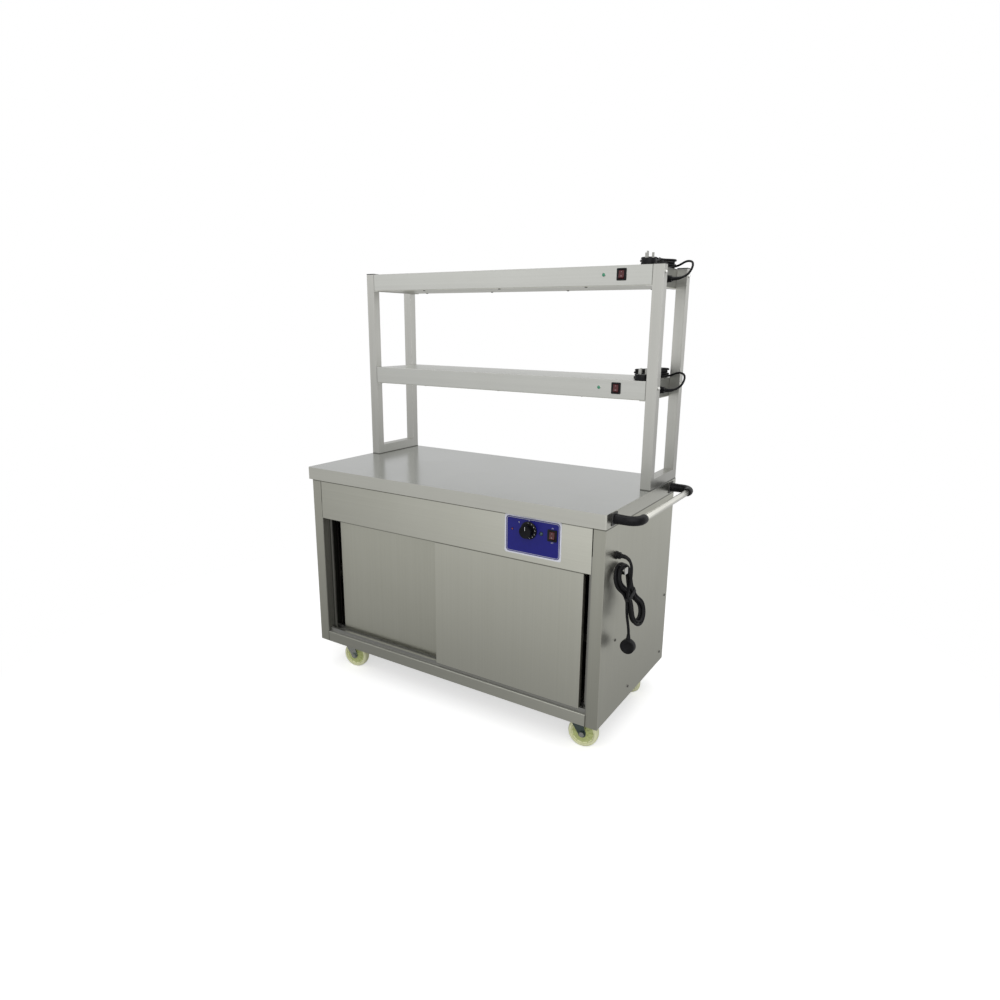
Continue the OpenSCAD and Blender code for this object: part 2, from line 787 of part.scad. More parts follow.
module castor_fork_fr() { at_castor(1) castor_fork(); }

module castor_fork_rl() { at_castor(2) castor_fork(); }

module castor_fork_rr() { at_castor(3) castor_fork(); }

module castor_wheel_fl() { at_castor(0) castor_wheel(); }

module castor_wheel_fr() { at_castor(1) castor_wheel(); }

module castor_wheel_rl() { at_castor(2) castor_wheel(); }

module castor_wheel_rr() { at_castor(3) castor_wheel(); }

// cable gland on a face that looks along +X: nut, body and tapered seal, with a stub through the sheet
module cord_glands() {
  color("black") for (g = glands) translate(g) rotate([0, 90, 0]) {
    cylinder(r = 13, h = 6, $fn = 6);
    translate([0, 0, 5.5]) cylinder(r = 10.5, h = 10);
    translate([0, 0, 15]) cylinder(r1 = 10, r2 = 6.5, h = gland_l - 15);
    translate([0, 0, -8]) cylinder(r = 8, h = 9);
  }
}

// bracket on the right side panel that the cord hangs on
module cord_hook() {
  reach = 27 + main_d / 2 + 3;
  y0 = hook_y - hook_w / 2;
  y1 = hook_y + hook_w / 2;
  color("lightgray") union() {
    box([bx, y0 - 4, hook_z - 26], [bx + 2, y1 + 4, hook_z + 14]);
    box([bx, y0, hook_z - hook_t], [bx + reach, y1, hook_z]);
    box([bx + reach - hook_t, y0, hook_z - hook_t], [bx + reach, y1, hook_z + 16]);
  }
}

// unit vector, and the rings of a tube of radius r round the points of a path
function unit(v) = v / norm(v);
function heading(p, i) = let(n = len(p) - 1) unit(p[min(i + 1, n)] - p[max(i - 1, 0)]);
function ring(p, i, r, sides, ref, ends) = let(
  last = len(p) - 1,
  t = i == 0 ? unit(ends[0]) : (i == last ? unit(ends[1]) : heading(p, i)),
  a = unit(cross(ref, t)), b = cross(t, a))
  [for (k = [0:sides - 1]) p[i] + r * (cos(360 * k / sides) * a + sin(360 * k / sides) * b)];

// closed tube through the points of a path; ref is a direction that the path never takes
module tube(p, r, sides, ref, ends) {
  n = len(p);
  pts = [for (i = [0:n - 1]) each ring(p, i, r, sides, ref, ends)];
  walls = [for (i = [0:n - 2], k = [0:sides - 1]) let(
      a = i * sides + k, b = i * sides + (k + 1) % sides)
    each [[a, a + sides, b], [b, a + sides, b + sides]]];
  start = [for (k = [1:sides - 2]) [0, k, k + 1]];
  stop = [for (k = [1:sides - 2]) let(o = (n - 1) * sides) [o, o + k + 1, o + k]];
  polyhedron(pts, concat(walls, start, stop), convexity = 8);
}

// A hank in its own plane. u runs along the hank from the middle of the first fold, v across it
// and w is the height of the layer. The turns spiral in on one layer, climb along the run where
// the spiral turns back, and spiral out on the next. The runs are drawn in alike at the waist.
along_run = [0, 0.22, 0.42, 0.5, 0.58, 0.78, 1];
waist = [0, 0.5, 1, 1, 1, 0.5, 0];
function rise(x) = let(c = min(max(x, 0), 1)) c * c * (3 - 2 * c);
function run_point(k, side, r, run, drawn, w) = [run * along_run[k], side * (r - drawn * waist[k]), w];
function hank_point(n, turns, layers, run, r0, pitch, drawn) = let(
  t = n / 24, i = n % 24, per = turns / layers,
  layer = min(floor(t / per), layers - 1), f = t / per - layer,
  r = r0 + pitch * per * (layer % 2 == 0 ? 1 - f : f),
  climbs = [for (k = [1:layers - 1]) rise((t - k * per) * 6 + 0.5)],
  w = pitch * (climbs * [for (c = climbs) 1]),
  q1 = 30 * (i - 3), q2 = 30 * (i - 15))
  i < 3 ? run_point(3 + i, 1, r, run, drawn, w) :
  i < 9 ? [run + r * sin(q1), r * cos(q1), w] :
  i < 15 ? run_point(15 - i, -1, r, run, drawn, w) :
  i < 21 ? [-r * sin(q2), -r * cos(q2), w] :
  run_point(i - 21, 1, r, run, drawn, w);
function hank_path(turns, layers, run, r0, pitch, drawn, d) = let(
  m = [for (n = [0:24 * turns]) hank_point(n, turns, layers, run, r0, pitch, drawn)],
  z = len(m) - 1)
  concat([m[0] - [d, 0, 0]], m, [m[z] + [d, 0, 0]]);

// least clear gap of a wound tube to itself, measured on its points
function least_gap(p, d) = min([for (i = [0:len(p) - 9], j = [i + 8:len(p) - 1]) norm(p[i] - p[j])]) - d;

main_drawn = main_fold - main_d / 2 - 1.5;
tier_drawn = tier_fold - tier_d / 2 - 1.2;
main_hank = hank_path(main_turns, 2, main_run, main_fold, main_pitch, main_drawn, main_d);
tier_hank = hank_path(tier_turns, 4, tier_run, tier_fold, tier_pitch, tier_drawn, tier_d);
echo("least gap of the cupboard's hank to itself", least_gap(main_hank, main_d));
echo("least gap of a shelf's hank to itself", least_gap(tier_hank, tier_d));

// the cupboard's hank hangs from the hook, leaning back and away from the side panel
side_u = [sin(hank_tilt), sin(hank_lean) * cos(hank_tilt), -cos(hank_lean) * cos(hank_tilt)];
side_v = [0, -cos(hank_lean), -sin(hank_lean)];
side_w = cross(side_u, side_v);
function on_side(q) = [bx + 27, hook_y + 5, hook_z - 16] + q[0] * side_u + q[1] * side_v + q[2] * side_w;

// a shelf's hank lies on the shelf's right hand end, its first fold towards the back
tier_u = [-sin(hank_turn), -cos(hank_turn), 0];
tier_v = [cos(hank_turn), -sin(hank_turn), 0];
function on_tier(q, z) = [gi - 34, back_y - 35, z + tier_d / 2 + 0.2 + q[2]] + q[0] * tier_u + q[1] * tier_v;

// free stretches of the cords, from the gland to the hank and from the hank to the plug
main_first = on_side(main_hank[0]);
main_last = on_side(main_hank[len(main_hank) - 1]);
main_plug_at = [642, 114, 363];
main_lead_pts = concat([[bx + gland_l, 95, 655], [622, 95, 654.7], [632, 95, 651.2], [640, 94.8, 644], [645.2, 94.4, 633.5],
  [647.5, 94, 621], [647.8, 93.5, 607], [647.4, 93, 592], [646.2, 92.5, 577], [643.4, 92.2, 562],
  [639.8, 92.8, 548.5], [637.3, 97.5, 536.7]], [main_first]);
main_tail_pts = concat([main_last], [[632, 110.8, 499], [632.8, 110.5, 487], [633.6, 110.5, 474], [635.2, 110.8, 460],
  [637.4, 111.5, 445], [639.7, 112.6, 430], [641.3, 113.5, 415]], [main_plug_at + [0, 0, plug_r + plug_neck]]);
module main_cord_lead() { color("black") tube(main_lead_pts, main_d / 2, 8, [0, 1, 0], [[1, 0, 0], side_u]); }

module main_cord_tail() { color("black") tube(main_tail_pts, main_d / 2, 8, [1, 0, 0], [side_u, [0, 0, -1]]); }

module main_cord_hank() {
  color("black") tube([for (q = main_hank) on_side(q)], main_d / 2, 6, side_w, [side_u, side_u]);
}

// the shelf cords' points are given from the shelf's top face
tier_lead_pts = [[594, 478, -35.6], [608, 479, -33], [621, 482, -27], [630, 486, -18], [635, 491, -7], [636, 498, 4],
  [632, 506, 13], [623, 515, 18], [610, 525, 19.5], [597, 534, 17.5], [584, 541.5, 12.5], [571, 546.5, 8],
  [558, 546, 5.3], [547, 539.5, 4.2], [540.8, 532, 3.8], [536, 525.3, 3.7]];
tier_tail_pts = [[528.3, 493.4, 27.3], [532.2, 480.3, 27.2], [538.1, 467.8, 25.4], [541.2, 454.9, 22], [541.8, 443, 18],
  [540.8, 431, 14.2], [539, 420, 11.5]];
plug_y = gy + 1 + plug_r;
plug_x = 538;

// lead and tail of one shelf's cord, the shelf's top face at the height z
module tier_runs(z) {
  first = on_tier(tier_hank[0], z);
  last = on_tier(tier_hank[len(tier_hank) - 1], z);
  lead = concat([[gi + gland_l, 478, z - 36]], [for (q = tier_lead_pts) q + [0, 0, z]], [first]);
  tail = concat([last], [for (q = tier_tail_pts) q + [0, 0, z]], [[plug_x, plug_y + plug_r + plug_neck, z + plug_in + 0.2]]);
  tube(lead, tier_d / 2, 8, [0, 0, 1], [[1, 0, 0], tier_u]);
  tube(tail, tier_d / 2, 8, [0, 0, 1], [tier_u, [0, -1, 0]]);
}

module tier_hank_tube(z) {
  tube([for (q = tier_hank) on_tier(q, z)], tier_d / 2, 6, [0, 0, 1], [tier_u, tier_u]);
}

module upper_cord_runs() { color("black") tier_runs(tiers[0]); }

module upper_cord_hank() { color("black") tier_hank_tube(tiers[0]); }

module lower_cord_runs() { color("black") tier_runs(tiers[1]); }

module lower_cord_hank() { color("black") tier_hank_tube(tiers[1]); }

// three pin plug on its back: cord comes in from +Y, pins stand up, middle of the back at the origin
module plug(cord_r) {
  color("black") {
    cylinder(r = plug_r, h = plug_t);
    translate([0, plug_r - 3, plug_in]) rotate([-90, 0, 0]) cylinder(r1 = 8, r2 = cord_r + 1.5, h = plug_neck + 3);
  }
  color("silver") {
    box([-2, -17, plug_t], [2, -9, plug_t + pin_long]);
    for (s = [-1, 1]) box([s * 11 - 3.2, 2, plug_t], [s * 11 + 3.2, 6, plug_t + pin_long - 3]);
  }
}

module main_plug() { translate(main_plug_at - [0, plug_in, 0]) rotate([90, 0, 180]) plug(main_d / 2); }

module upper_plug() { translate([plug_x, plug_y, tiers[0] + 0.2]) plug(tier_d / 2); }

module lower_plug() { translate([plug_x, plug_y, tiers[1] + 0.2]) plug(tier_d / 2); }

place() worktop();
place() side_panel_left();
place() side_panel_right();
place() back_panel();
place() fascia();
place() bottom_rail();
place() base_pan();
place() door_tracks();
place() door_jambs();
place() heat_shield();
place() inner_shelf();
place() shelf_runners();
place() heating_element();
place() element_cover();
place() thermostat();
place() control_plate();
place() rocker_bezels();
place() indicator_lamps();
place() knob();
place() rocker_main();
place() rocker_upper();
place() rocker_lower();
place() door_left();
place() door_left_hangers();
place() door_right();
place() door_right_hangers();
place() gantry_frame_left();
place() gantry_frame_right();
place() post_caps();
place() upper_shelf();
place() lower_shelf();
place() shelf_bases();
place() shelf_heaters();
place() dome_nuts();
place() panel_screws();
place() handle_pads();
place() handle_elbows();
place() handle_tube();
place() castor_plates();
place() castor_fork_fl();
place() castor_fork_fr();
place() castor_fork_rl();
place() castor_fork_rr();
place() castor_wheel_fl();
place() castor_wheel_fr();
place() castor_wheel_rl();
place() castor_wheel_rr();
place() cord_glands();
place() cord_hook();
place() main_cord_lead();
place() main_cord_hank();
place() main_cord_tail();
place() main_plug();
place() upper_cord_runs();
place() upper_cord_hank();
place() upper_plug();
place() lower_cord_runs();
place() lower_cord_hank();
place() lower_plug();
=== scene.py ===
"""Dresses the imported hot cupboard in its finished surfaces, its cords and its studio."""
import json
import math
import bpy
import bmesh
from mathutils import Matrix, Vector

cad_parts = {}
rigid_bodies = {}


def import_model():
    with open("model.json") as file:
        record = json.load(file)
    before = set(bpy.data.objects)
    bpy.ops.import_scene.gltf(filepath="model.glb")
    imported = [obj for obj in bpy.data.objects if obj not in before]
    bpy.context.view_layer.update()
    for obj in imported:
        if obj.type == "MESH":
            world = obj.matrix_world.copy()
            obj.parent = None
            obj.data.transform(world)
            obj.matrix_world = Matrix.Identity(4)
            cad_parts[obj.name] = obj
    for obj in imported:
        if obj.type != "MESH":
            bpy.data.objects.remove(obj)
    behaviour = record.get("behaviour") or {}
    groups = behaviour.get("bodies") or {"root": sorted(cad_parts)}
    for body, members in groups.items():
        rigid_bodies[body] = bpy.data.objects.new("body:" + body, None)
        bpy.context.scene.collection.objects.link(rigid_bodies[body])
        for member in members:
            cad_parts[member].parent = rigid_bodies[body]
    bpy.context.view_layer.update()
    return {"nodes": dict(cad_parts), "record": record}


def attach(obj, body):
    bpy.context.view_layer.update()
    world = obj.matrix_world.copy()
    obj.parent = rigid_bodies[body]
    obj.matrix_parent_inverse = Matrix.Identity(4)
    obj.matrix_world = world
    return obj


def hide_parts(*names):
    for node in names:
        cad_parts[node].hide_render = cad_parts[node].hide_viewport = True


for thing in list(bpy.data.objects):
    bpy.data.objects.remove(thing)
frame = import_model()
nodes = frame["nodes"]
bpy.ops.object.select_all(action="DESELECT")
scene = bpy.context.scene


# Camera. It stands to the right of the cupboard's front, at a height between its two gantry
# shelves, and looks a little down at it, where the photograph was taken from.
def at(x, y, z):
    """A place in millimetres, from the floor under the middle of the worktop's front edge."""
    return Vector(((x - 42.25) / 1000, (y - 293.75) / 1000, z / 1000))


yaw, pitch, roll = (math.radians(angle) for angle in (32.195, -14.216, 0.548))
ahead = Vector((-math.sin(yaw) * math.cos(pitch), math.cos(yaw) * math.cos(pitch), math.sin(pitch)))
level = Vector((math.cos(yaw), math.sin(yaw), 0))
upright = level.cross(ahead)
across = level * math.cos(roll) + upright * math.sin(roll)
above = upright * math.cos(roll) - level * math.sin(roll)
lens = bpy.data.cameras.new("photo_camera")
lens.sensor_width = 36
lens.lens = 25.0
camera = bpy.data.objects.new("photo_camera", lens)
scene.collection.objects.link(camera)
turn = Matrix((across, above, -ahead)).transposed()
camera.matrix_world = Matrix.Translation(at(1350.9, -1758.1, 1319.9)) @ turn.to_4x4()
scene.camera = camera


# Cords. Each is one length of black flexible cord: a lead out of its gland, a hank of four turns
# drawn in at the waist, and a tail to the plug. The routes repeat the CAD source's points.
def own_place(tree):
    """The place of each point on the piece itself, in metres."""
    return tree.nodes.new("ShaderNodeTexCoord").outputs["Object"]


def noise(tree, place, scale, detail=2.0, rough=0.5):
    """A noise read at that place, from 0 to 1."""
    texture = tree.nodes.new("ShaderNodeTexNoise")
    texture.inputs["Scale"].default_value = scale
    texture.inputs["Detail"].default_value = detail
    texture.inputs["Roughness"].default_value = rough
    tree.links.new(place, texture.inputs["Vector"])
    return texture.outputs["Fac"]


def remap(tree, value, low, high, out_low=0, out_high=1):
    """A value between low and high, carried over to another range."""
    ranged = tree.nodes.new("ShaderNodeMapRange")
    for name, number in (("From Min", low), ("From Max", high), ("To Min", out_low), ("To Max", out_high)):
        ranged.inputs[name].default_value = number
    tree.links.new(value, ranged.inputs["Value"])
    return ranged.outputs["Result"]


def vector_math(tree, kind, first, second=(0, 0, 0)):
    """Vector Math on a vector and a fixed one; gives a vector, or a value where the kind makes one."""
    node = tree.nodes.new("ShaderNodeVectorMath")
    node.operation = kind
    node.inputs[1].default_value = second
    tree.links.new(first, node.inputs[0])
    return node.outputs["Value" if kind in ("LENGTH", "DOT_PRODUCT") else "Vector"]


def new_group(name, inputs, outputs):
    """A shader group with sockets of these names and kinds; gives it and its two ends."""
    tree = bpy.data.node_groups.new(name, "ShaderNodeTree")
    for in_out, sockets in (("INPUT", inputs), ("OUTPUT", outputs)):
        for socket, kind in sockets.items():
            tree.interface.new_socket(socket, in_out=in_out, socket_type="NodeSocket" + kind)
    return tree, tree.nodes.new("NodeGroupInput"), tree.nodes.new("NodeGroupOutput")


def marks_group(name, **marks):
    """A group that reads a place and puts out marks: scale or stretch, detail, roughness, low and high."""
    tree, start, end = new_group(name, {"Place": "Vector"}, {mark: "Float" for mark in marks})
    for mark, (scale, detail, rough, low, high) in marks.items():
        place = start.outputs["Place"]
        if isinstance(scale, tuple):
            place, scale = vector_math(tree, "MULTIPLY", place, scale), 1
        tree.links.new(remap(tree, noise(tree, place, scale, detail, rough), low, high), end.inputs[mark])
    return tree


def marks_on(tree, group, turned=None):
    """Puts a group of marks in a material, read at the piece's own place, which may be turned."""
    place = own_place(tree)
    if turned:
        mapping = tree.nodes.new("ShaderNodeMapping")
        mapping.inputs["Rotation"].default_value = turned
        tree.links.new(place, mapping.inputs["Vector"])
        place = mapping.outputs["Vector"]
    marks = tree.nodes.new("ShaderNodeGroup")
    marks.node_tree = group
    tree.links.new(place, marks.inputs["Place"])
    return marks.outputs


def new_material(name, **sockets):
    """A material with one Principled shader, whose named sockets are set; gives the tree and shader."""
    made = bpy.data.materials.new(name)
    made.use_nodes = True
    shader = made.node_tree.nodes["Principled BSDF"]
    for socket, number in sockets.items():
        shader.inputs[socket.replace("_", " ")].default_value = number
    return made, made.node_tree, shader


def feed(tree, shader, **sockets):
    """Links values to the sockets of these names."""
    for socket, value in sockets.items():
        tree.links.new(value, shader.inputs[socket.replace("_", " ")])


def two_tone(tree, factor, dark, light, blend="MIX"):
    """A colour between two tones or colours, by a mask."""
    mix = tree.nodes.new("ShaderNodeMix")
    mix.data_type = "RGBA"
    mix.blend_type = blend
    for socket, tone in (("A", dark), ("B", light)):
        if isinstance(tone, tuple):
            mix.inputs[socket].default_value = (*tone, 1)
        else:
            tree.links.new(tone, mix.inputs[socket])
    tree.links.new(factor, mix.inputs["Factor"])
    return mix.outputs["Result"]


def bump(tree, shader, height, depth, strength=1.0):
    """Raises the surface by the height, at most depth metres."""
    relief = tree.nodes.new("ShaderNodeBump")
    relief.inputs["Distance"].default_value = depth
    relief.inputs["Strength"].default_value = strength
    tree.links.new(height, relief.inputs["Height"])
    tree.links.new(relief.outputs["Normal"], shader.inputs["Normal"])


skin_group = marks_group("moulded skin", Grain=(1400, 2, 0.5, 0, 1), Rub=(38, 3, 0.6, 0.35, 0.7))


def moulded(name, dark, light, rough, depth=0.00006, **sockets):
    """A moulded plastic or rubber: two close tones, fine grain and rubbed patches."""
    made, tree, shader = new_material(name, **sockets)
    skin = marks_on(tree, skin_group)
    feed(tree, shader, Base_Color=two_tone(tree, skin["Rub"], dark, light),
         Roughness=remap(tree, skin["Rub"], 0, 1, *rough))
    bump(tree, shader, skin["Grain"], depth)
    return made


cord_rubber = moulded("cord rubber", (0.004, 0.004, 0.005), (0.011, 0.011, 0.012), (0.42, 0.6),
                      Specular_IOR_Level=0.14)


def finish_piece(piece, name, body, slot, material, *replaced):
    """Names a piece, gives it its material, and ties it to its body and CAD nodes. The slot is not used."""
    piece.name = name
    piece.data.name = name
    piece.data.materials.clear()
    piece.data.materials.append(material)
    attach(piece, body)
    if replaced:
        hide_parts(*replaced)
    return piece


def rise(share):
    """Eases from 0 to 1 as a turn climbs to the next layer."""
    share = min(max(share, 0), 1)
    return share * share * (3 - 2 * share)


def hank_line(turns, layers, run, fold, pitch, drawn, thick):
    """The middle line of a wound hank in its own plane, in millimetres."""
    stations = (0, 0.22, 0.42, 0.5, 0.58, 0.78, 1)
    line = []
    per = turns / layers
    steps, fine = 24, 3
    for n in range(steps * fine * turns + 1):
        turn, step = n / (steps * fine), (n / fine) % steps
        layer = min(int(turn / per), layers - 1)
        part = turn / per - layer
        radius = fold + pitch * per * ((1 - part) if layer % 2 == 0 else part)
        height = pitch * sum(rise((turn - k * per) * 6 + 0.5) for k in range(1, layers))
        if 3 <= step < 9:
            # Round the far end of the hank.
            angle = math.radians(30 * (step - 3))
            point = (run + radius * math.sin(angle), radius * math.cos(angle), height)
        elif 15 <= step < 21:
            # Round the near end, where the hank begins.
            angle = math.radians(30 * (step - 15))
            point = (-radius * math.sin(angle), -radius * math.cos(angle), height)
        else:
            # Along a side, drawn in by the tie at its middle.
            place = step + 3 if step < 3 else (15 - step if step < 15 else step - 21)
            low = min(int(place), 5)
            share = stations[low] + (stations[low + 1] - stations[low]) * (place - low)
            near_end = min(share, 1 - share)
            side = -1 if 9 <= step < 15 else 1
            point = (run * share, side * (radius - drawn * rise(near_end / 0.42)), height)
        line.append(Vector(point))
    return [line[0] - Vector((thick, 0, 0)), *line, line[-1] + Vector((thick, 0, 0))]


def eased(points, steps):
    """Points set on a smooth curve through the given ones."""
    line = [points[0]]
    for i in range(len(points) - 1):
        a, b = points[max(i - 1, 0)], points[i]
        c, d = points[i + 1], points[min(i + 2, len(points) - 1)]
        for k in range(1, steps + 1):
            t = k / steps
            line.append(0.5 * (2 * b + (c - a) * t + (2 * a - 5 * b + 4 * c - d) * t * t
                               + (3 * b - a - 3 * c + d) * t * t * t))
    return line


def cord_curve(line, thick):
    """One open round cord along a line of places."""
    curve = bpy.data.curves.new("cord", "CURVE")
    curve.dimensions = "3D"
    curve.bevel_depth = thick / 2000
    curve.bevel_resolution = 4
    curve.use_fill_caps = True
    spline = curve.splines.new("POLY")
    spline.points.add(len(line) - 1)
    for point, place in zip(spline.points, line):
        point.co = (*place, 1)
    spline.use_smooth = True
    cord = bpy.data.objects.new("cord", curve)
    scene.collection.objects.link(cord)
    return cord


# The cupboard's own cord: 8.5 mm round, out of the gland high on the right side, with its hank
# hung on the hook, leaning back, and the plug hanging under it.
MAIN_THICK, TIER_THICK, TURN_GAP = 8.5, 7, 0.75
lean, tilt = math.radians(21), math.radians(14)
side_u = Vector((math.sin(tilt), math.sin(lean) * math.cos(tilt), -math.cos(lean) * math.cos(tilt)))
side_v = Vector((0, -math.cos(lean), -math.sin(lean)))
side_w = side_u.cross(side_v)


def on_side(spot):
    """A place on the cupboard's hank, from its own plane, which begins at the hook."""
    place = Vector((622, 107, 586)) + spot[0] * side_u + spot[1] * side_v + spot[2] * side_w
    return at(*place)


main_hank = [on_side(spot) for spot in hank_line(
    turns=4, layers=2, run=130, fold=25.5, pitch=MAIN_THICK + TURN_GAP, drawn=19.75, thick=MAIN_THICK)]
main_lead = [at(*place) for place in (
    (613, 95, 655), (622, 95, 654.7), (632, 95, 651.2), (640, 94.8, 644), (645.2, 94.4, 633.5),
    (647.5, 94, 621), (647.8, 93.5, 607), (647.4, 93, 592), (646.2, 92.5, 577), (643.4, 92.2, 562),
    (639.8, 92.8, 548.5), (637.3, 97.5, 536.7))]
main_tail = [at(*place) for place in (
    (632, 110.8, 499), (632.8, 110.5, 487), (633.6, 110.5, 474), (635.2, 110.8, 460),
    (637.4, 111.5, 445), (639.7, 112.6, 430), (641.3, 113.5, 415), (642, 114, 401), (642, 114, 390))]
main_line = eased(main_lead + main_hank + main_tail, 2)
main_cord = cord_curve(main_line, MAIN_THICK)
finish_piece(main_cord, "main_flex", "cupboard", "cord_rubber", cord_rubber,
             "main_cord_lead", "main_cord_hank", "main_cord_tail")

# The two shelf cords: 7 mm round, each out of the right hand end of its heated shelf, round
# between the posts and up to a hank that lies on the shelf, with its plug in front of it.
swing = math.radians(12)
tier_u = Vector((-math.sin(swing), -math.cos(swing), 0))
tier_v = Vector((math.cos(swing), -math.sin(swing), 0))


def on_tier(spot, top):
    """A place on a shelf's hank, from its own plane, the shelf's top at that height."""
    start = Vector((528, 565, top + TIER_THICK / 2 + 0.2 + spot[2]))
    return at(*(start + spot[0] * tier_u + spot[1] * tier_v))


TIER_LEAD = (
    (580, 478, -36), (594, 478, -35.6), (608, 479, -33), (621, 482, -27), (630, 486, -18),
    (635, 491, -7), (636, 498, 4), (632, 506, 13), (623, 515, 18), (610, 525, 19.5),
    (597, 534, 17.5), (584, 541.5, 12.5), (571, 546.5, 8), (558, 546, 5.3), (547, 539.5, 4.2),
    (540.8, 532, 3.8), (536, 525.3, 3.7))
TIER_TAIL = (
    (528.3, 493.4, 27.3), (532.2, 480.3, 27.2), (538.1, 467.8, 25.4), (541.2, 454.9, 22),
    (541.8, 443, 18), (540.8, 431, 14.2), (539, 420, 11.5), (538, 412, 10.2), (538, 402, 10.2))
TIERS = {"upper": 1500, "lower": 1150}
tier_cords, tier_lines = {}, {}
for tier, top in TIERS.items():
    hank = [on_tier(spot, top) for spot in hank_line(
        turns=4, layers=4, run=105, fold=21, pitch=TIER_THICK + TURN_GAP, drawn=16.3, thick=TIER_THICK)]
    lead = [at(x, y, z + top) for x, y, z in TIER_LEAD]
    tail = [at(x, y, z + top) for x, y, z in TIER_TAIL]
    tier_lines[tier] = eased(lead + hank + tail, 2)
    tier_cords[tier] = cord_curve(tier_lines[tier], TIER_THICK)
    finish_piece(tier_cords[tier], f"{tier}_flex", "cupboard", "cord_rubber", cord_rubber,
                 f"{tier}_cord_runs", f"{tier}_cord_hank")


# Ties. A hook and loop strap round the waist of each hank holds its turns together; it is one
# flat woven band, closed on itself.
def only(piece):
    """Selects this piece alone."""
    bpy.ops.object.select_all(action="DESELECT")
    piece.select_set(True)
    bpy.context.view_layer.objects.active = piece


def settled(piece):
    """Puts a piece's place, turn and size into its mesh."""
    only(piece)
    bpy.ops.object.transform_apply(location=True, rotation=True, scale=True)
    return piece


def strap(name, middle, wide_axis, thick_axis, half_wide, low, high, width, thick):
    """A flat band round a bundle: a rounded loop across it, width along it."""
    along = wide_axis.cross(thick_axis).normalized()
    corner = (high - low) / 2
    outline = []
    for sign, sweep in ((1, (-90, 90)), (-1, (90, 270))):
        for k in range(9):
            angle = math.radians(sweep[0] + (sweep[1] - sweep[0]) * k / 8)
            outline.append(((half_wide - corner) * sign + corner * math.cos(angle),
                            (low + high) / 2 + corner * math.sin(angle)))
    bpy.ops.mesh.primitive_plane_add(size=1)
    band = bpy.context.object
    mesh = bmesh.new()
    rows = []
    for side in (-0.5, 0.5):
        rows.append([mesh.verts.new(middle + (wide_axis * v + thick_axis * w + along * side * width) / 1000)
                     for v, w in outline])
    count = len(outline)
    for k in range(count):
        mesh.faces.new((rows[0][k], rows[0][(k + 1) % count], rows[1][(k + 1) % count], rows[1][k]))
    mesh.to_mesh(band.data)
    mesh.free()
    settled(band)
    bpy.ops.object.mode_set(mode="EDIT")
    bpy.ops.mesh.select_all(action="SELECT")
    bpy.ops.mesh.normals_make_consistent(inside=False)
    bpy.ops.object.mode_set(mode="OBJECT")
    wall = band.modifiers.new("wall", "SOLIDIFY")
    wall.thickness = thick / 1000
    wall.offset = -1
    bpy.ops.object.modifier_apply(modifier=wall.name)
    soft_edge = band.modifiers.new("soft edge", "BEVEL")
    soft_edge.width = thick / 3500
    soft_edge.segments = 2
    soft_edge.limit_method = "ANGLE"
    bpy.ops.object.modifier_apply(modifier=soft_edge.name)
    bpy.ops.object.shade_smooth_by_angle(angle=math.radians(40))
    return finish_piece(band, name, "cupboard", "cord_rubber", strap_cloth)


def woven_strap():
    """Black hook and loop tape: a fine crossed weave with a dull fuzzy sheen."""
    made, tree, shader = new_material("strap cloth", Roughness=0.9, Sheen_Weight=0.12,
                                      Specular_IOR_Level=0.2)
    weave = tree.nodes.new("ShaderNodeTexVoronoi")
    weave.inputs["Scale"].default_value = 900
    tree.links.new(own_place(tree), weave.inputs["Vector"])
    threads = weave.outputs["Distance"]
    feed(tree, shader, Base_Color=two_tone(tree, threads, (0.006, 0.006, 0.007), (0.018, 0.018, 0.019)))
    bump(tree, shader, threads, 0.0002, 0.7)
    return made


strap_cloth = woven_strap()
main_tie = strap("main_tie", on_side((65, 0, 0)), side_v, side_w,
                 half_wide=30.2, low=-5.6, high=14.9, width=12, thick=1.2)
for tier, top in TIERS.items():
    strap(f"{tier}_tie", on_tier((52, 0, 0), top), tier_v, Vector((0, 0, 1)),
                            half_wide=17.4, low=-3.65, high=28, width=11, thick=1.0)


# Plugs. Each is a moulded black three pin plug: a round back with a shallow dish for the fingers,
# a ribbed sleeve round the cord, a fuse drawer on the face, and three nickelled pins.
PLUG_RADIUS, PLUG_DEEP = 0.023, 0.019
plug_black = moulded("plug black", (0.004, 0.004, 0.005), (0.012, 0.012, 0.013), (0.34, 0.5),
                     Specular_IOR_Level=0.15)


def disc(radius, depth, place, vertices=48):
    """A cylinder primitive that stands on its place."""
    bpy.ops.mesh.primitive_cylinder_add(vertices=vertices, radius=radius, depth=depth,
                                        location=Vector(place) + Vector((0, 0, depth / 2)))
    return settled(bpy.context.object)


def block(low, high):
    """A box primitive between two corners."""
    low, high = Vector(low), Vector(high)
    bpy.ops.mesh.primitive_cube_add(size=1, location=(low + high) / 2)
    piece = bpy.context.object
    piece.scale = high - low
    return settled(piece)


def edit_chosen(piece, kind, chosen):
    """Opens a piece in edit mode with the chosen faces or edges selected."""
    only(piece)
    bpy.ops.object.mode_set(mode="EDIT")
    bpy.ops.mesh.select_mode(type=kind)
    bpy.ops.mesh.select_all(action="DESELECT")
    mesh = bmesh.from_edit_mesh(piece.data)
    for item in (mesh.faces if kind == "FACE" else mesh.edges):
        if chosen(item):
            item.select_set(True)
    bmesh.update_edit_mesh(piece.data)


def leave_edit(piece):
    """Closes edit mode."""
    bpy.ops.object.mode_set(mode="OBJECT")
    return piece


def sharp(edge, least=30):
    """True where two faces meet at more than the least angle."""
    return len(edge.link_faces) == 2 and edge.calc_face_angle() > math.radians(least)


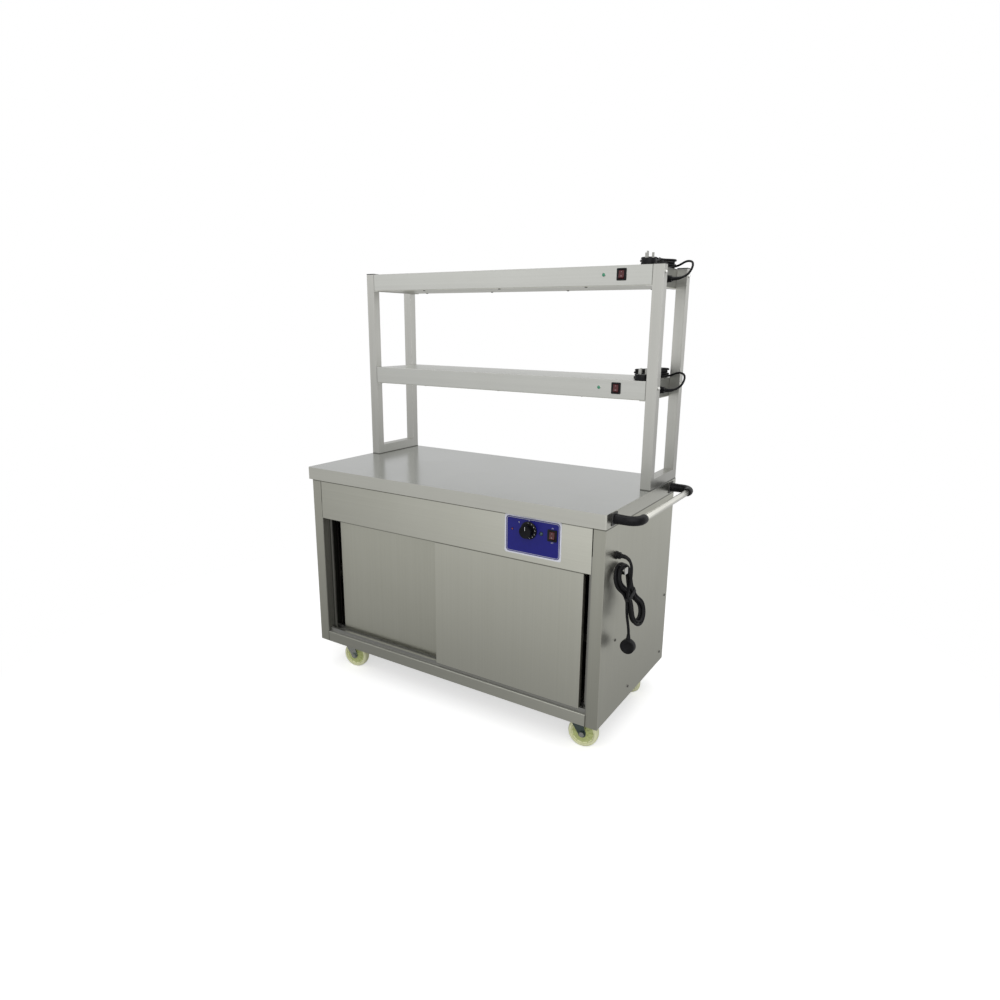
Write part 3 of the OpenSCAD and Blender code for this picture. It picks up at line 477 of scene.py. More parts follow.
def round_edges(piece, width, segments=2, chosen=sharp):
    """Bevels the chosen edges by a width in millimetres."""
    edit_chosen(piece, "EDGE", chosen)
    bpy.ops.mesh.bevel(offset=width / 1000, segments=segments, profile=0.5, clamp_overlap=True)
    return leave_edit(piece)


def smooth(piece, angle=32):
    """Shades a piece smooth up to that angle between faces."""
    only(piece)
    bpy.ops.object.shade_smooth_by_angle(angle=math.radians(angle))
    return piece


def carried(piece, turn, place):
    """Turns a piece and puts it in its place, all in its mesh."""
    piece.data.transform(Matrix.Translation(place) @ turn.to_4x4())
    return piece


def joined(pieces):
    """Several pieces made into the first of them."""
    bpy.ops.object.select_all(action="DESELECT")
    for piece in pieces:
        piece.select_set(True)
    bpy.context.view_layer.objects.active = pieces[0]
    if len(pieces) > 1:
        bpy.ops.object.join()
    return pieces[0]


def plug_body():
    """Round plug body on its back at the origin, cord towards +Y, in metres."""
    body = disc(PLUG_RADIUS, PLUG_DEEP, (0, 0, 0), 64)
    edit_chosen(body, "FACE", lambda face: face.normal.z < -0.9)
    bpy.ops.mesh.inset(thickness=0.0045, depth=0)
    bpy.ops.mesh.inset(thickness=0.003, depth=-0.0012)
    leave_edit(body)

    def on_back_rim(edge):
        """Tests whether an edge is on the rim of the plug's back."""
        spot = edge.verts[0].co
        return sharp(edge, 60) and spot.z < 0.001 and spot.to_2d().length > PLUG_RADIUS - 0.001

    round_edges(body, 2.4, 4, on_back_rim)
    round_edges(body, 1.0, 3, lambda edge: sharp(edge, 60) and edge.verts[0].co.z > PLUG_DEEP - 0.001)
    return smooth(body)


def plug_sleeve(cord_radius):
    """Tapered sleeve with rings, from the body along +Y."""
    first, long, wide, rings = 0.0185, 0.0195, 0.0078, 14
    profile = [(first, 0.001)]
    for k in range(rings + 1):
        radius = wide + (cord_radius + 0.0011 - wide) * k / rings
        profile.append((first + long * k / rings, radius - (0.0007 if k % 3 == 1 and k > 3 else 0)))
    profile.append((profile[-1][0], cord_radius * 0.6))
    return turned_along_y(profile, 32, (0, 0, 0.01))


def turned_along_y(profile, steps, centre):
    """A shape turned round a line along Y: the profile gives distance along it and radius."""
    bpy.ops.mesh.primitive_plane_add(size=1)
    piece = bpy.context.object
    piece.data.clear_geometry()
    mesh = bmesh.new()
    corners = [mesh.verts.new((centre[0] + radius, centre[1] + y, centre[2])) for y, radius in profile]
    for a, b in zip(corners, corners[1:]):
        mesh.edges.new((a, b))
    mesh.to_mesh(piece.data)
    mesh.free()
    only(piece)
    bpy.ops.object.mode_set(mode="EDIT")
    bpy.ops.mesh.select_all(action="SELECT")
    bpy.ops.mesh.spin(steps=steps, angle=math.tau, center=centre, axis=(0, 1, 0))
    bpy.ops.mesh.select_all(action="SELECT")
    bpy.ops.mesh.remove_doubles(threshold=0.00002)
    bpy.ops.mesh.select_all(action="DESELECT")
    bpy.ops.mesh.select_mode(type="EDGE")
    bpy.ops.mesh.select_non_manifold(extend=False)
    bpy.ops.mesh.edge_face_add()
    bpy.ops.mesh.select_all(action="SELECT")
    bpy.ops.mesh.normals_make_consistent(inside=False)
    bpy.ops.object.mode_set(mode="OBJECT")
    return smooth(piece)


def plug_pins():
    """One longer pin and two flat ones, rounded at their tips."""
    pins = []
    for x, y, wide, deep, tall in ((0, -0.013, 0.004, 0.008, 0.0203),
                                   (-0.011, 0.004, 0.0063, 0.004, 0.0173),
                                   (0.011, 0.004, 0.0063, 0.004, 0.0173)):
        pin = block((x - wide / 2, y - deep / 2, PLUG_DEEP - 0.001),
                    (x + wide / 2, y + deep / 2, PLUG_DEEP + tall))
        round_edges(pin, 0.8, 3, lambda edge: sharp(edge) and min(v.co.z for v in edge.verts) > 0.03)
        pins.append(pin)
    return smooth(joined(pins))


def plug_fuse_drawer():
    """Fuse carrier set in the face, with a shallow recess along it."""
    drawer = block((-0.005, -0.0035, 0.0175), (0.005, 0.0105, 0.0193))
    edit_chosen(drawer, "FACE", lambda face: face.normal.z > 0.9)
    bpy.ops.mesh.inset(thickness=0.0006, depth=0)
    bpy.ops.mesh.inset(thickness=0.0003, depth=-0.0005)
    leave_edit(drawer)
    return smooth(drawer)


nickel, nickel_tree, nickel_shader = new_material("nickelled pin", Metallic=1.0)
nickel_rub = noise(nickel_tree, own_place(nickel_tree), 260, 3)
feed(nickel_tree, nickel_shader,
     Base_Color=two_tone(nickel_tree, nickel_rub, (0.27, 0.27, 0.25), (0.42, 0.42, 0.4)),
     Roughness=remap(nickel_tree, nickel_rub, 0.3, 0.7, 0.28, 0.45))
hang = Matrix(((-1, 0, 0), (0, 0, 1), (0, 1, 0)))
flat = Matrix.Identity(3)
for name, turn, place, thick in (("main", hang, at(642, 104, 363), MAIN_THICK),
                                 ("upper", flat, at(538, 374, 1500.2), TIER_THICK),
                                 ("lower", flat, at(538, 374, 1150.2), TIER_THICK)):
    body = carried(plug_body(), turn, place)
    sleeve = carried(plug_sleeve(thick / 2000), turn, place)
    pins = carried(plug_pins(), turn, place)
    drawer = carried(plug_fuse_drawer(), turn, place)
    finish_piece(body, f"{name}_plug_body", "cupboard", "black_plastic", plug_black, f"{name}_plug")
    finish_piece(sleeve, f"{name}_plug_sleeve", "cupboard", "black_plastic", plug_black)
    finish_piece(pins, f"{name}_plug_pins", "cupboard", "bright_steel", nickel)
    finish_piece(drawer, f"{name}_plug_fuse_drawer", "cupboard", "black_plastic", plug_black)


# Glands. A black nylon gland holds each cord where it leaves the sheet: a hexagon flange, a
# fluted cap and a long tapered sleeve that keeps the cord from kinking.
def swept(line, radii, name):
    """A tube along places whose radius, in millimetres, changes from point to point."""
    piece = cord_curve(line, 2)
    for point, radius in zip(piece.data.splines[0].points, radii):
        point.radius = radius
    piece.data.bevel_resolution = 6
    only(piece)
    bpy.ops.object.convert(target="MESH")
    piece = bpy.context.object
    piece.name = name
    return smooth(piece)


def on_flute(face, width, each):
    """Tests for the flutes of a disc: one in so many of its upright faces, each so many degrees wide."""
    count_round = math.degrees(math.atan2(face.normal.y, face.normal.x)) // width
    return abs(face.normal.z) < 0.1 and count_round % each == 0


SLEEVE_LONG, SLEEVE_WIDE, SLEEVE_WALL, SLEEVE_GROOVE = 34, 7.2, 0.6, 0.5
for name, face, line in (("main", at(595, 95, 655), main_line),
                         ("upper", at(562, 478, 1464), tier_lines["upper"]),
                         ("lower", at(562, 478, 1114), tier_lines["lower"])):
    flange = round_edges(disc(0.013, 0.0055, (0, 0, 0), 6), 0.8)
    cap = disc(0.0105, 0.0105, (0, 0, 0.005), 24)
    edit_chosen(cap, "FACE", lambda face: on_flute(face, 15, 2))
    bpy.ops.mesh.inset(thickness=0.0003, depth=-0.0007, use_individual=True)
    leave_edit(cap)
    round_edges(cap, 0.7, 2, lambda edge: sharp(edge, 60) and min(v.co.z for v in edge.verts) > 0.015)
    gland = smooth(joined([flange, cap]))
    carried(gland, Matrix.Rotation(math.pi / 2, 3, "Y"), face)
    run, reach = [], 0.0
    for a, b in zip(line, line[1:]):
        if 1000 * reach > SLEEVE_LONG:
            break
        run.append(a)
        reach += (b - a).length
    taper = SLEEVE_WIDE - (MAIN_THICK if name == "main" else TIER_THICK) / 2 - SLEEVE_WALL
    last = len(run) - 1
    radii = [SLEEVE_WIDE - taper * (k / last) - (SLEEVE_GROOVE if k % 3 == 1 and 0 < k < last else 0)
             for k in range(last + 1)]
    boot = swept(run, radii, f"{name}_gland_sleeve")
    finish_piece(gland, f"{name}_gland", "cupboard", "black_plastic", plug_black)
    finish_piece(boot, f"{name}_gland_sleeve", "cupboard", "black_plastic", plug_black)
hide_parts("cord_glands")


# Studio. A pale floor that runs out to white all round the cupboard and keeps its shadow, a white
# room that metal sees dimmer towards the left and back, and three large soft lamps.
def value_math(tree, kind, first, second):
    """A Math node of that kind on two values; either may be a number."""
    node = tree.nodes.new("ShaderNodeMath")
    node.operation = kind
    for socket, value in zip(node.inputs, (first, second)):
        if isinstance(value, (int, float)):
            socket.default_value = value
        else:
            tree.links.new(value, socket)
    return node.outputs[0]


def grey_ramp(tree, value, *stops, steps="LINEAR"):
    """A grey for each value from 0 to 1, by stops in order, each a place and its grey."""
    node = tree.nodes.new("ShaderNodeValToRGB")
    ramp = node.color_ramp
    ramp.interpolation = steps
    for n, (place, grey) in enumerate(stops):
        stop = ramp.elements[n] if n < 2 else ramp.elements.new(place)
        stop.position = place
        stop.color = (grey, grey, grey, 1)
    tree.links.new(value, node.inputs["Fac"])
    return node.outputs["Color"]


def white_glow(tree, strength):
    """White light given off by a surface."""
    node = tree.nodes.new("ShaderNodeEmission")
    node.inputs["Color"].default_value = (1, 1, 1, 1)
    tree.links.new(strength, node.inputs["Strength"])
    return node.outputs[0]


def between(tree, factor, first, second):
    """A shader between two, by a mask."""
    node = tree.nodes.new("ShaderNodeMixShader")
    for socket, source in zip(node.inputs, (factor, first, second)):
        tree.links.new(source, socket)
    return node.outputs[0]


bpy.ops.mesh.primitive_plane_add(size=30)
floor = bpy.context.object
floor.name = "studio_floor"
floor_white, floor_tree, floor_shader = new_material("studio floor", Roughness=0.9, Specular_IOR_Level=0.1)
floor_place = own_place(floor_tree)
floor_mottle = noise(floor_tree, floor_place, 3, 4)
feed(floor_tree, floor_shader,
     Base_Color=two_tone(floor_tree, floor_mottle, (0.79, 0.79, 0.79), (0.81, 0.81, 0.81)))
floor_reach = vector_math(floor_tree, "LENGTH", floor_place)
floor_rays = floor_tree.nodes.new("ShaderNodeLightPath").outputs
floor_seen = value_math(floor_tree, "MAXIMUM",
                        floor_rays["Is Camera Ray"], floor_rays["Is Transmission Ray"])
seen_far = value_math(floor_tree, "MULTIPLY", floor_seen, remap(floor_tree, floor_reach, 0.95, 1.9))
# Metal sees the floor as a painted grey: a painted shadow, darkest near the cupboard, and painted shade
# towards the left and back.
painted_floor_shadow = grey_ramp(floor_tree, remap(floor_tree, floor_reach, 0, 6),
                       (0.1, 0.42), (0.17, 0.53), (0.28, 0.64), (0.5, 0.77), (0.83, 0.86))
to_the_right = vector_math(floor_tree, "DOT_PRODUCT", floor_place, (0.75, -0.66, 0))
painted_floor_side_shade = remap(floor_tree, to_the_right, -0.5, 1.5, 0.76, 1.08)
mirrored_floor = value_math(floor_tree, "MULTIPLY", painted_floor_shadow, painted_floor_side_shade)
near_glow = white_glow(floor_tree, value_math(floor_tree, "MULTIPLY", floor_seen, 0.56))
far_glow = white_glow(floor_tree, value_math(floor_tree, "MAXIMUM", floor_seen, mirrored_floor))
near_floor = floor_tree.nodes.new("ShaderNodeAddShader")
floor_tree.links.new(floor_shader.outputs[0], near_floor.inputs[0])
floor_tree.links.new(near_glow, near_floor.inputs[1])
floor_far = value_math(floor_tree, "MAXIMUM", seen_far, floor_rays["Is Glossy Ray"])
floor_tree.links.new(between(floor_tree, floor_far, near_floor.outputs[0], far_glow),
                     floor_tree.nodes["Material Output"].inputs["Surface"])
floor.data.materials.append(floor_white)

room = bpy.data.worlds.new("studio room")
room.use_nodes = True
scene.world = room
room_tree = room.node_tree
room_back = room_tree.nodes["Background"]
room_white = room_tree.nodes.new("ShaderNodeBackground")
room_metal = room_tree.nodes.new("ShaderNodeBackground")
for background, strength in ((room_back, 0.42), (room_white, 1.0), (room_metal, 1.0)):
    background.inputs["Color"].default_value = (1, 1, 1, 1)
    background.inputs["Strength"].default_value = strength
room_rays = room_tree.nodes.new("ShaderNodeLightPath").outputs
room_direction = room_tree.nodes.new("ShaderNodeTexCoord").outputs["Generated"]
room_lean = vector_math(room_tree, "DOT_PRODUCT", room_direction, (0.5, -0.3, 0.2))
room_tree.links.new(remap(room_tree, room_lean, -0.5, 0.1, 0.73, 0.95), room_metal.inputs["Strength"])
room_mirrored = value_math(room_tree, "MAXIMUM",
                           room_rays["Is Glossy Ray"], room_rays["Is Transmission Ray"])
room_unseen = between(room_tree, room_mirrored, room_back.outputs[0], room_metal.outputs[0])
room_tree.links.new(between(room_tree, room_rays["Is Camera Ray"], room_unseen, room_white.outputs[0]),
                    room_tree.nodes["World Output"].inputs["Surface"])
scene.view_settings.view_transform = "Standard"

for lamp_name, place, width, power in (("key_lamp", (1.9, -2.9, 2.9), 3.6, 62),
                                       ("fill_lamp", (-2.6, -2.6, 3.2), 2.4, 16),
                                       ("top_lamp", (0.2, 0.6, 3.9), 4.2, 54)):
    lamp = bpy.data.lights.new(lamp_name, "AREA")
    lamp.shape = "SQUARE"
    lamp.size = width
    lamp.energy = power
    lamp_stand = bpy.data.objects.new(lamp_name, lamp)
    scene.collection.objects.link(lamp_stand)
    lamp_stand.location = place
    lamp_stand.rotation_mode = "QUATERNION"
    lamp_stand.rotation_quaternion = (Vector((0, 0, 0.7)) - Vector(place)).to_track_quat("-Z", "Y")


# Body. Folded 1.5 mm sheet with a satin brushed face: two side panels with their front returns,
# and a back panel set between them.
grain_group = marks_group("brushed grain", Scratches=((14, 2400, 2400), 3, 0.62, 0, 1),
                          Bands=((0.8, 190, 190), 4, 0.62, 0.3, 0.7), Marks=(5, 3, 0.5, 0.42, 0.72))
ALONG = {"x": (0, 0, 0), "y": (0, 0, -math.pi / 2), "z": (0, math.pi / 2, 0)}


def brushed(name, dark, light, rough, along, depth=0.00002):
    """Brushed steel: fine scratches along one direction, soft bands beside them, and marks of hands."""
    made, tree, shader = new_material(name, Metallic=1.0)
    grain = marks_on(tree, grain_group, ALONG[along])
    toned = two_tone(tree, grain["Bands"], dark, light)
    handled = value_math(tree, "MULTIPLY", grain["Marks"], 0.12)
    rubbed = value_math(tree, "ADD", handled, grain["Scratches"])
    feed(tree, shader, Base_Color=two_tone(tree, grain["Marks"], toned, (0.975, 0.975, 0.97), "MULTIPLY"),
         Roughness=remap(tree, rubbed, 0.3, 0.8, *rough))
    bump(tree, shader, grain["Scratches"], depth)
    return made


def make_painted_shade():
    """Painted shade where pieces meet, under lips and where light falls off: along an axis it begins, is
    full, and ends again.
    """
    numbers = {name: "Float" for name in ("Place", "Begins", "Full", "Ends")}
    tree, start, end = new_group("painted shade", {"Colour": "Color", **numbers}, {"Colour": "Color"})
    ramps = []
    for nothing in ("Begins", "Ends"):
        ramp = tree.nodes.new("ShaderNodeMapRange")
        for name, socket in (("Place", "Value"), (nothing, "From Min"), ("Full", "From Max")):
            tree.links.new(start.outputs[name], ramp.inputs[socket])
        ramps.append(ramp.outputs["Result"])
    shaded = two_tone(tree, value_math(tree, "MINIMUM", *ramps), start.outputs["Colour"],
                      (0.3, 0.3, 0.29), "MULTIPLY")
    tree.links.new(shaded, end.inputs["Colour"])
    return tree


painted_shade_group = make_painted_shade()


def paint_shade_into(material, *shade_bands):
    """Paints shade into a material's colour where pieces meet, under lips and where light falls off: each
    band is an axis, where its shade begins and is full, and where it ends if it doesn't run on."""
    tree = material.node_tree
    base = tree.nodes["Principled BSDF"].inputs["Base Color"]
    parts = tree.nodes.new("ShaderNodeSeparateXYZ")
    tree.links.new(own_place(tree), parts.inputs[0])
    for axis, begins, full, *ends in shade_bands:
        shade = tree.nodes.new("ShaderNodeGroup")
        shade.node_tree = painted_shade_group
        far = ends[0] if ends else full + 1000 * (full - begins)
        for name, number in (("Begins", begins), ("Full", full), ("Ends", far)):
            shade.inputs[name].default_value = number
        tree.links.new(parts.outputs[axis], shade.inputs["Place"])
        tree.links.new(base.links[0].from_socket, shade.inputs["Colour"])
        tree.links.new(shade.outputs["Colour"], base)
    return material


slot_of = {row["node"]: row["material_slot"] for row in frame["record"]["subparts"]}
body_with = {node: body for body, held in frame["record"]["behaviour"]["bodies"].items() for node in held}


def merged_copy(node):
    """A copy of a CAD node whose loose triangles are merged into whole faces."""
    piece = bpy.data.objects.new(node + "_copy", nodes[node].data.copy())
    scene.collection.objects.link(piece)
    only(piece)
    bpy.ops.object.mode_set(mode="EDIT")
    bpy.ops.mesh.select_all(action="SELECT")
    bpy.ops.mesh.remove_doubles(threshold=0.00001)
    bpy.ops.mesh.customdata_custom_splitnormals_clear()
    bpy.ops.mesh.dissolve_limited(angle_limit=math.radians(1))
    bpy.ops.object.mode_set(mode="OBJECT")
    return piece


def on_corner_line(piece):
    """Tests whether an edge lies on one of the twelve lines of the piece's own box."""
    spots = [vertex.co for vertex in piece.data.vertices]
    low = [min(spot[k] for spot in spots) for k in range(3)]
    high = [max(spot[k] for spot in spots) for k in range(3)]

    def test(edge):
        """Tests whether both ends of an edge lie on two faces of the box."""
        planes = 0
        for k in range(3):
            for end in (low, high):
                planes += all(abs(vertex.co[k] - end[k]) < 2e-5 for vertex in edge.verts)
        return sharp(edge) and planes >= 2

    return test


LONG_EDGE = 0.06


def pressed(node, fold, cut, material, name, long_edges=False):
    """A sheet or tube piece whose folds and cut edges are rounded as its press leaves them."""
    piece = merged_copy(node)
    if long_edges:
        round_edges(piece, fold, 3,
                    lambda edge: sharp(edge) and edge.is_convex and edge.calc_length() > LONG_EDGE)
    elif fold:
        round_edges(piece, fold, 3, on_corner_line(piece))
    if cut:
        round_edges(piece, cut, 2, lambda edge: sharp(edge, 50) and edge.is_convex)
    smooth(piece)
    flat_faces = piece.modifiers.new("flat faces", "WEIGHTED_NORMAL")
    flat_faces.keep_sharp = True
    bpy.ops.object.modifier_apply(modifier=flat_faces.name)
    return finish_piece(piece, name, body_with[node], slot_of[node], material, node)


satin = (0.3, 0.4)
steel_upright = brushed("satin steel upright", (0.535, 0.535, 0.465), (0.565, 0.565, 0.495), satin, "z")
steel_level = brushed("satin steel level", (0.54, 0.54, 0.475), (0.57, 0.57, 0.505), satin, "x")
# The front returns share the side panels' steel but are painted darker, as painted shade on them.
shaded_return_steel = brushed("front return steel", (0.41, 0.41, 0.355), (0.44, 0.44, 0.385), (0.34, 0.44), "z")
# A band of painted shade on the sheet just under the worktop's lip.
under_lip = ("Z", 0.7465, 0.7485)
paint_shade_into(steel_upright, under_lip)
paint_shade_into(shaded_return_steel, under_lip)
for side in ("left", "right"):
    side_sheet = pressed(f"side_panel_{side}", 1.3, 0.3, steel_upright, f"{side}_side_sheet")
    side_sheet.data.materials.append(shaded_return_steel)
    for face in side_sheet.data.polygons:
        face.material_index = 1 if face.normal.y < -0.7 else 0
pressed("back_panel", 0, 0.3, steel_level, "back_sheet")


# Worktop. One 1.5 mm sheet with turned down edges and welded, polished corners, brushed along
# its length and rubbed by the plates that slide over it.
steel_top = brushed("worktop steel", (0.475, 0.485, 0.472), (0.495, 0.505, 0.492), (0.17, 0.24), "x",
                    depth=0.000006)
steel_edge = brushed("worktop edge steel", (0.545, 0.545, 0.495), (0.575, 0.575, 0.525), (0.28, 0.36), "x")
top_sheet = pressed("worktop", 1.4, 0.3, steel_top, "worktop_sheet")
top_sheet.data.materials.append(steel_edge)
for face in top_sheet.data.polygons:
    face.material_index = 0 if face.normal.z > 0.6 else 1


# Front. A fixed front panel over the doors and a deep bottom rail under them, both folded sheet
# with sharp press folds.
ends = [at(side * x, 0, 0).x for side in (1, -1) for x in (551.5, 553)]
# The front panel is painted lighter than the bottom rail though both are one steel, as painted light; both
# carry painted shade under the worktop's lip and at their ends beside the returns, and are painted darker
# towards the left.
for node, name, tone in (("fascia", "front_sheet", 0.648), ("bottom_rail", "bottom_rail_sheet", 0.555)):
    dark, light = ((grey, grey, grey * 0.885) for grey in (tone, tone + 0.035))
    steel_front = brushed(f"{name} steel", dark, light, satin, "x")
    paint_shade_into(steel_front, under_lip, ("X", ends[0], ends[1]), ("X", ends[2], ends[3]), ("X", 0.45, -2.2))
    pressed(node, 1.4, 0.35, steel_front, name)


# Inside. Pan, tracks, shield and runners are plain dull sheet, the jambs beside the doors are painted
# darker as painted shade, and the shelf and slotted cover are satin. The heating element is dark with use.
def surfaced(material, *kept):
    """CAD nodes whose own shape stays, with their new surface."""
    for node in kept:
        piece = nodes[node]
        piece.data.materials.clear()
        piece.data.materials.append(material)


steel_dull = brushed("dull sheet", (0.3, 0.3, 0.285), (0.38, 0.38, 0.36), (0.38, 0.55), "x")
element_dark = brushed("element sheath", (0.1, 0.09, 0.08), (0.2, 0.17, 0.15), (0.4, 0.6), "x")
steel_shaded = brushed("jamb sheet", (0.25, 0.25, 0.23), (0.32, 0.32, 0.295), (0.4, 0.55), "z")
# Painted shade in the jambs: darker deep behind the doors' faces, and in bands at their outer edges in the
# gaps.
folds = [("X", at(-552, 0, 0).x, at(-547, 0, 0).x, at(-542, 0, 0).x)]
folds.append(("X", at(552, 0, 0).x, at(547, 0, 0).x, at(542, 0, 0).x))
paint_shade_into(steel_shaded, ("Y", at(0, 48, 0).y, at(0, 50, 0).y), *folds)
surfaced(steel_dull, "base_pan", "door_tracks", "heat_shield", "shelf_runners")
surfaced(steel_shaded, "door_jambs")
surfaced(steel_level, "inner_shelf", "element_cover")
surfaced(element_dark, "heating_element")


# Doors. Two hollow folded doors that hang from rollers in the top track and slide past each
# other; their faces are brushed upright.
# The left door sits further back and is painted a little darker than the right, as painted shade; each door
# also has a band of painted shade just under the front panel.
for side, tone, begins, full in (("left", 0.51, 0.5885, 0.5915), ("right", 0.55, 0.6015, 0.604)):
    dark, light = ((grey, grey, grey - 0.07) for grey in (tone, tone + 0.025))
    steel_door = brushed(f"{side} door steel", dark, light, (0.32, 0.42), "z")
    pressed(f"door_{side}", 1.6, 0.4, paint_shade_into(steel_door, ("Z", begins, full)), f"{side}_door_shell")
nylon_white = moulded("roller nylon", (0.66, 0.65, 0.6), (0.76, 0.75, 0.7), (0.35, 0.5))
surfaced(nylon_white, "door_left_hangers", "door_right_hangers")


# Gantry. Two welded end frames of 35 x 30 mm tube carry two heated shelves of folded sheet; each
# shelf is closed underneath by a screwed plate over its heater mat.
steel_post = brushed("gantry steel", (0.505, 0.505, 0.475), (0.54, 0.54, 0.51), (0.28, 0.38), "z")
steel_shelf = brushed("shelf steel", (0.53, 0.535, 0.505), (0.565, 0.57, 0.54), (0.28, 0.38), "x")
# Painted shade: the posts darken at their feet on the worktop and towards the bottom, and the shelves at
# their ends beside the posts.
paint_shade_into(steel_post, ("Z", 0.8035, 0.8015), ("Z", 1.15, -0.45))
ends = [at(side * x, 0, 0).x for side in (1, -1) for x in (559, 561)]
paint_shade_into(steel_shelf, ("X", ends[0], ends[1]), ("X", ends[2], ends[3]))
for side in ("left", "right"):
    pressed(f"gantry_frame_{side}", 1.4, 0.3, steel_post, f"{side}_gantry_frame", long_edges=True)
for tier in TIERS:
    pressed(f"{tier}_shelf", 1.1, 0.3, steel_shelf, f"{tier}_shelf_sheet")
pressed("shelf_bases", 0.3, 0, steel_level, "shelf_base_plates")
cap_black = moulded("cap black", (0.006, 0.006, 0.007), (0.018, 0.018, 0.019), (0.35, 0.5),
                    Specular_IOR_Level=0.3)
pressed("post_caps", 0.9, 0.5, cap_black, "post_end_caps", long_edges=True)
heater_mat = moulded("heater mat", (0.5, 0.2, 0.08), (0.6, 0.27, 0.11), (0.5, 0.7))
surfaced(heater_mat, "shelf_heaters")


# Fixings. Bright dome nuts at the ends of the shelves, and darker pan head screws with a cross
# recess in the side panels and under the shelves.
polish_group = marks_group("polished metal", Rub=(120, 4, 0.6, 0, 1), Scratches=(900, 2, 0.5, 0, 1))


def bright(name, dark, light, rough):
    """Polished or plated metal with fine rub marks."""
    made, tree, shader = new_material(name, Metallic=1.0)
    marks = marks_on(tree, polish_group)
    feed(tree, shader, Base_Color=two_tone(tree, marks["Rub"], dark, light),
         Roughness=remap(tree, marks["Rub"], 0.3, 0.7, *rough))
    bump(tree, shader, marks["Scratches"], 0.00001)
    return made


bright_steel = bright("bright steel", (0.62, 0.62, 0.6), (0.78, 0.78, 0.76), (0.14, 0.3))


def dome_nut():
    """Hexagon nut with a domed end, its seat at the origin, towards +X."""
    nut = round_edges(disc(0.006, 0.0032, (0, 0, 0), 6), 0.4)
    bpy.ops.mesh.primitive_uv_sphere_add(segments=24, ring_count=12, radius=0.0049, location=(0, 0, 0.001))
    dome = settled(bpy.context.object)
    edit_chosen(dome, "FACE", lambda face: face.calc_center_median().z < 0.0005)
    bpy.ops.mesh.delete(type="FACE")
    bpy.ops.mesh.select_mode(type="EDGE")
    bpy.ops.mesh.select_non_manifold(extend=False)
    bpy.ops.mesh.edge_face_add()
    leave_edit(dome)
    nut = smooth(joined([nut, dome]))
    nut.data.transform(Matrix.Rotation(math.pi / 2, 4, "Y"))
    return nut


def pan_head():
    """Pan head screw with its cross recess, its seat at the origin, towards +X."""
    head = disc(0.0045, 0.0024, (0, 0, 0), 32)
    round_edges(head, 1.0, 4, lambda edge: sharp(edge) and edge.verts[0].co.z > 0.002)
    for long, wide in ((0.0022, 0.0004), (0.0004, 0.0022)):
        cutter = block((-long, -wide, 0.0014), (long, wide, 0.004))
        recess = head.modifiers.new("recess", "BOOLEAN")
        recess.object = cutter
        recess.operation = "DIFFERENCE"
        recess.solver = "EXACT"
        only(head)
        bpy.ops.object.modifier_apply(modifier=recess.name)
        bpy.data.objects.remove(cutter)
    head.data.transform(Matrix.Rotation(math.pi / 2, 4, "Y"))
    return smooth(head)


def repeated(model, places):
    """Copies of one small piece, each turned and put in its place, as one piece."""
    copies = []
    for turn, place in places:
        copy = bpy.data.objects.new(model.name, model.data.copy())
        scene.collection.objects.link(copy)
        copies.append(carried(copy, turn, place))
    bpy.data.objects.remove(model)
    return joined(copies)


outwards = {1: Matrix.Identity(3), -1: Matrix.Rotation(math.pi, 3, "Z")}
downwards = Matrix.Rotation(math.pi / 2, 3, "Y")
nut_rows = [(top, y) for top in TIERS.values() for y in (365, 585)]
side_screws = ((124, 367), (574, 367), (257, 146), (561, 146))
nut_places, screw_places = [], []
for side, turn in outwards.items():
    for n, (top, y) in enumerate(nut_rows):
        nut_places.append((turn @ Matrix.Rotation(0.4 * n, 3, "X"), at(side * 597, y, top - 22)))
    for n, (y, z) in enumerate(side_screws):
        screw_places.append((turn @ Matrix.Rotation(0.7 * n, 3, "X"), at(side * 595, y, z)))
base_screws = [(k, 370) for k in (-0.59, 0, 0.59)] + [(k, 575) for k in (-0.85, -0.29, 0.29, 0.85)]
for top in TIERS.values():
    for n, (share, y) in enumerate(base_screws):
        screw_places.append((downwards @ Matrix.Rotation(0.9 * n, 3, "X"), at(share * 562, y, top - 61.2)))
finish_piece(repeated(dome_nut(), nut_places), "dome_nuts_hexagon",
             "cupboard", "bright_steel", bright_steel, "dome_nuts")
screw_steel = bright("screw steel", (0.08, 0.08, 0.075), (0.17, 0.17, 0.16), (0.3, 0.45))
finish_piece(repeated(pan_head(), screw_places), "cross_recess_screws",
             "cupboard", "bright_steel", screw_steel, "panel_screws")


# Controls. A blue printed plate with a white border and line, and on it the thermostat knob, its
# two lamps and the main rocker switch.
PLATE_MIDDLE = at(353.5, 14, 688.5)
PLATE_HALF_WIDE, PLATE_HALF_TALL, PLATE_CORNER = 0.0995, 0.0625, 0.016


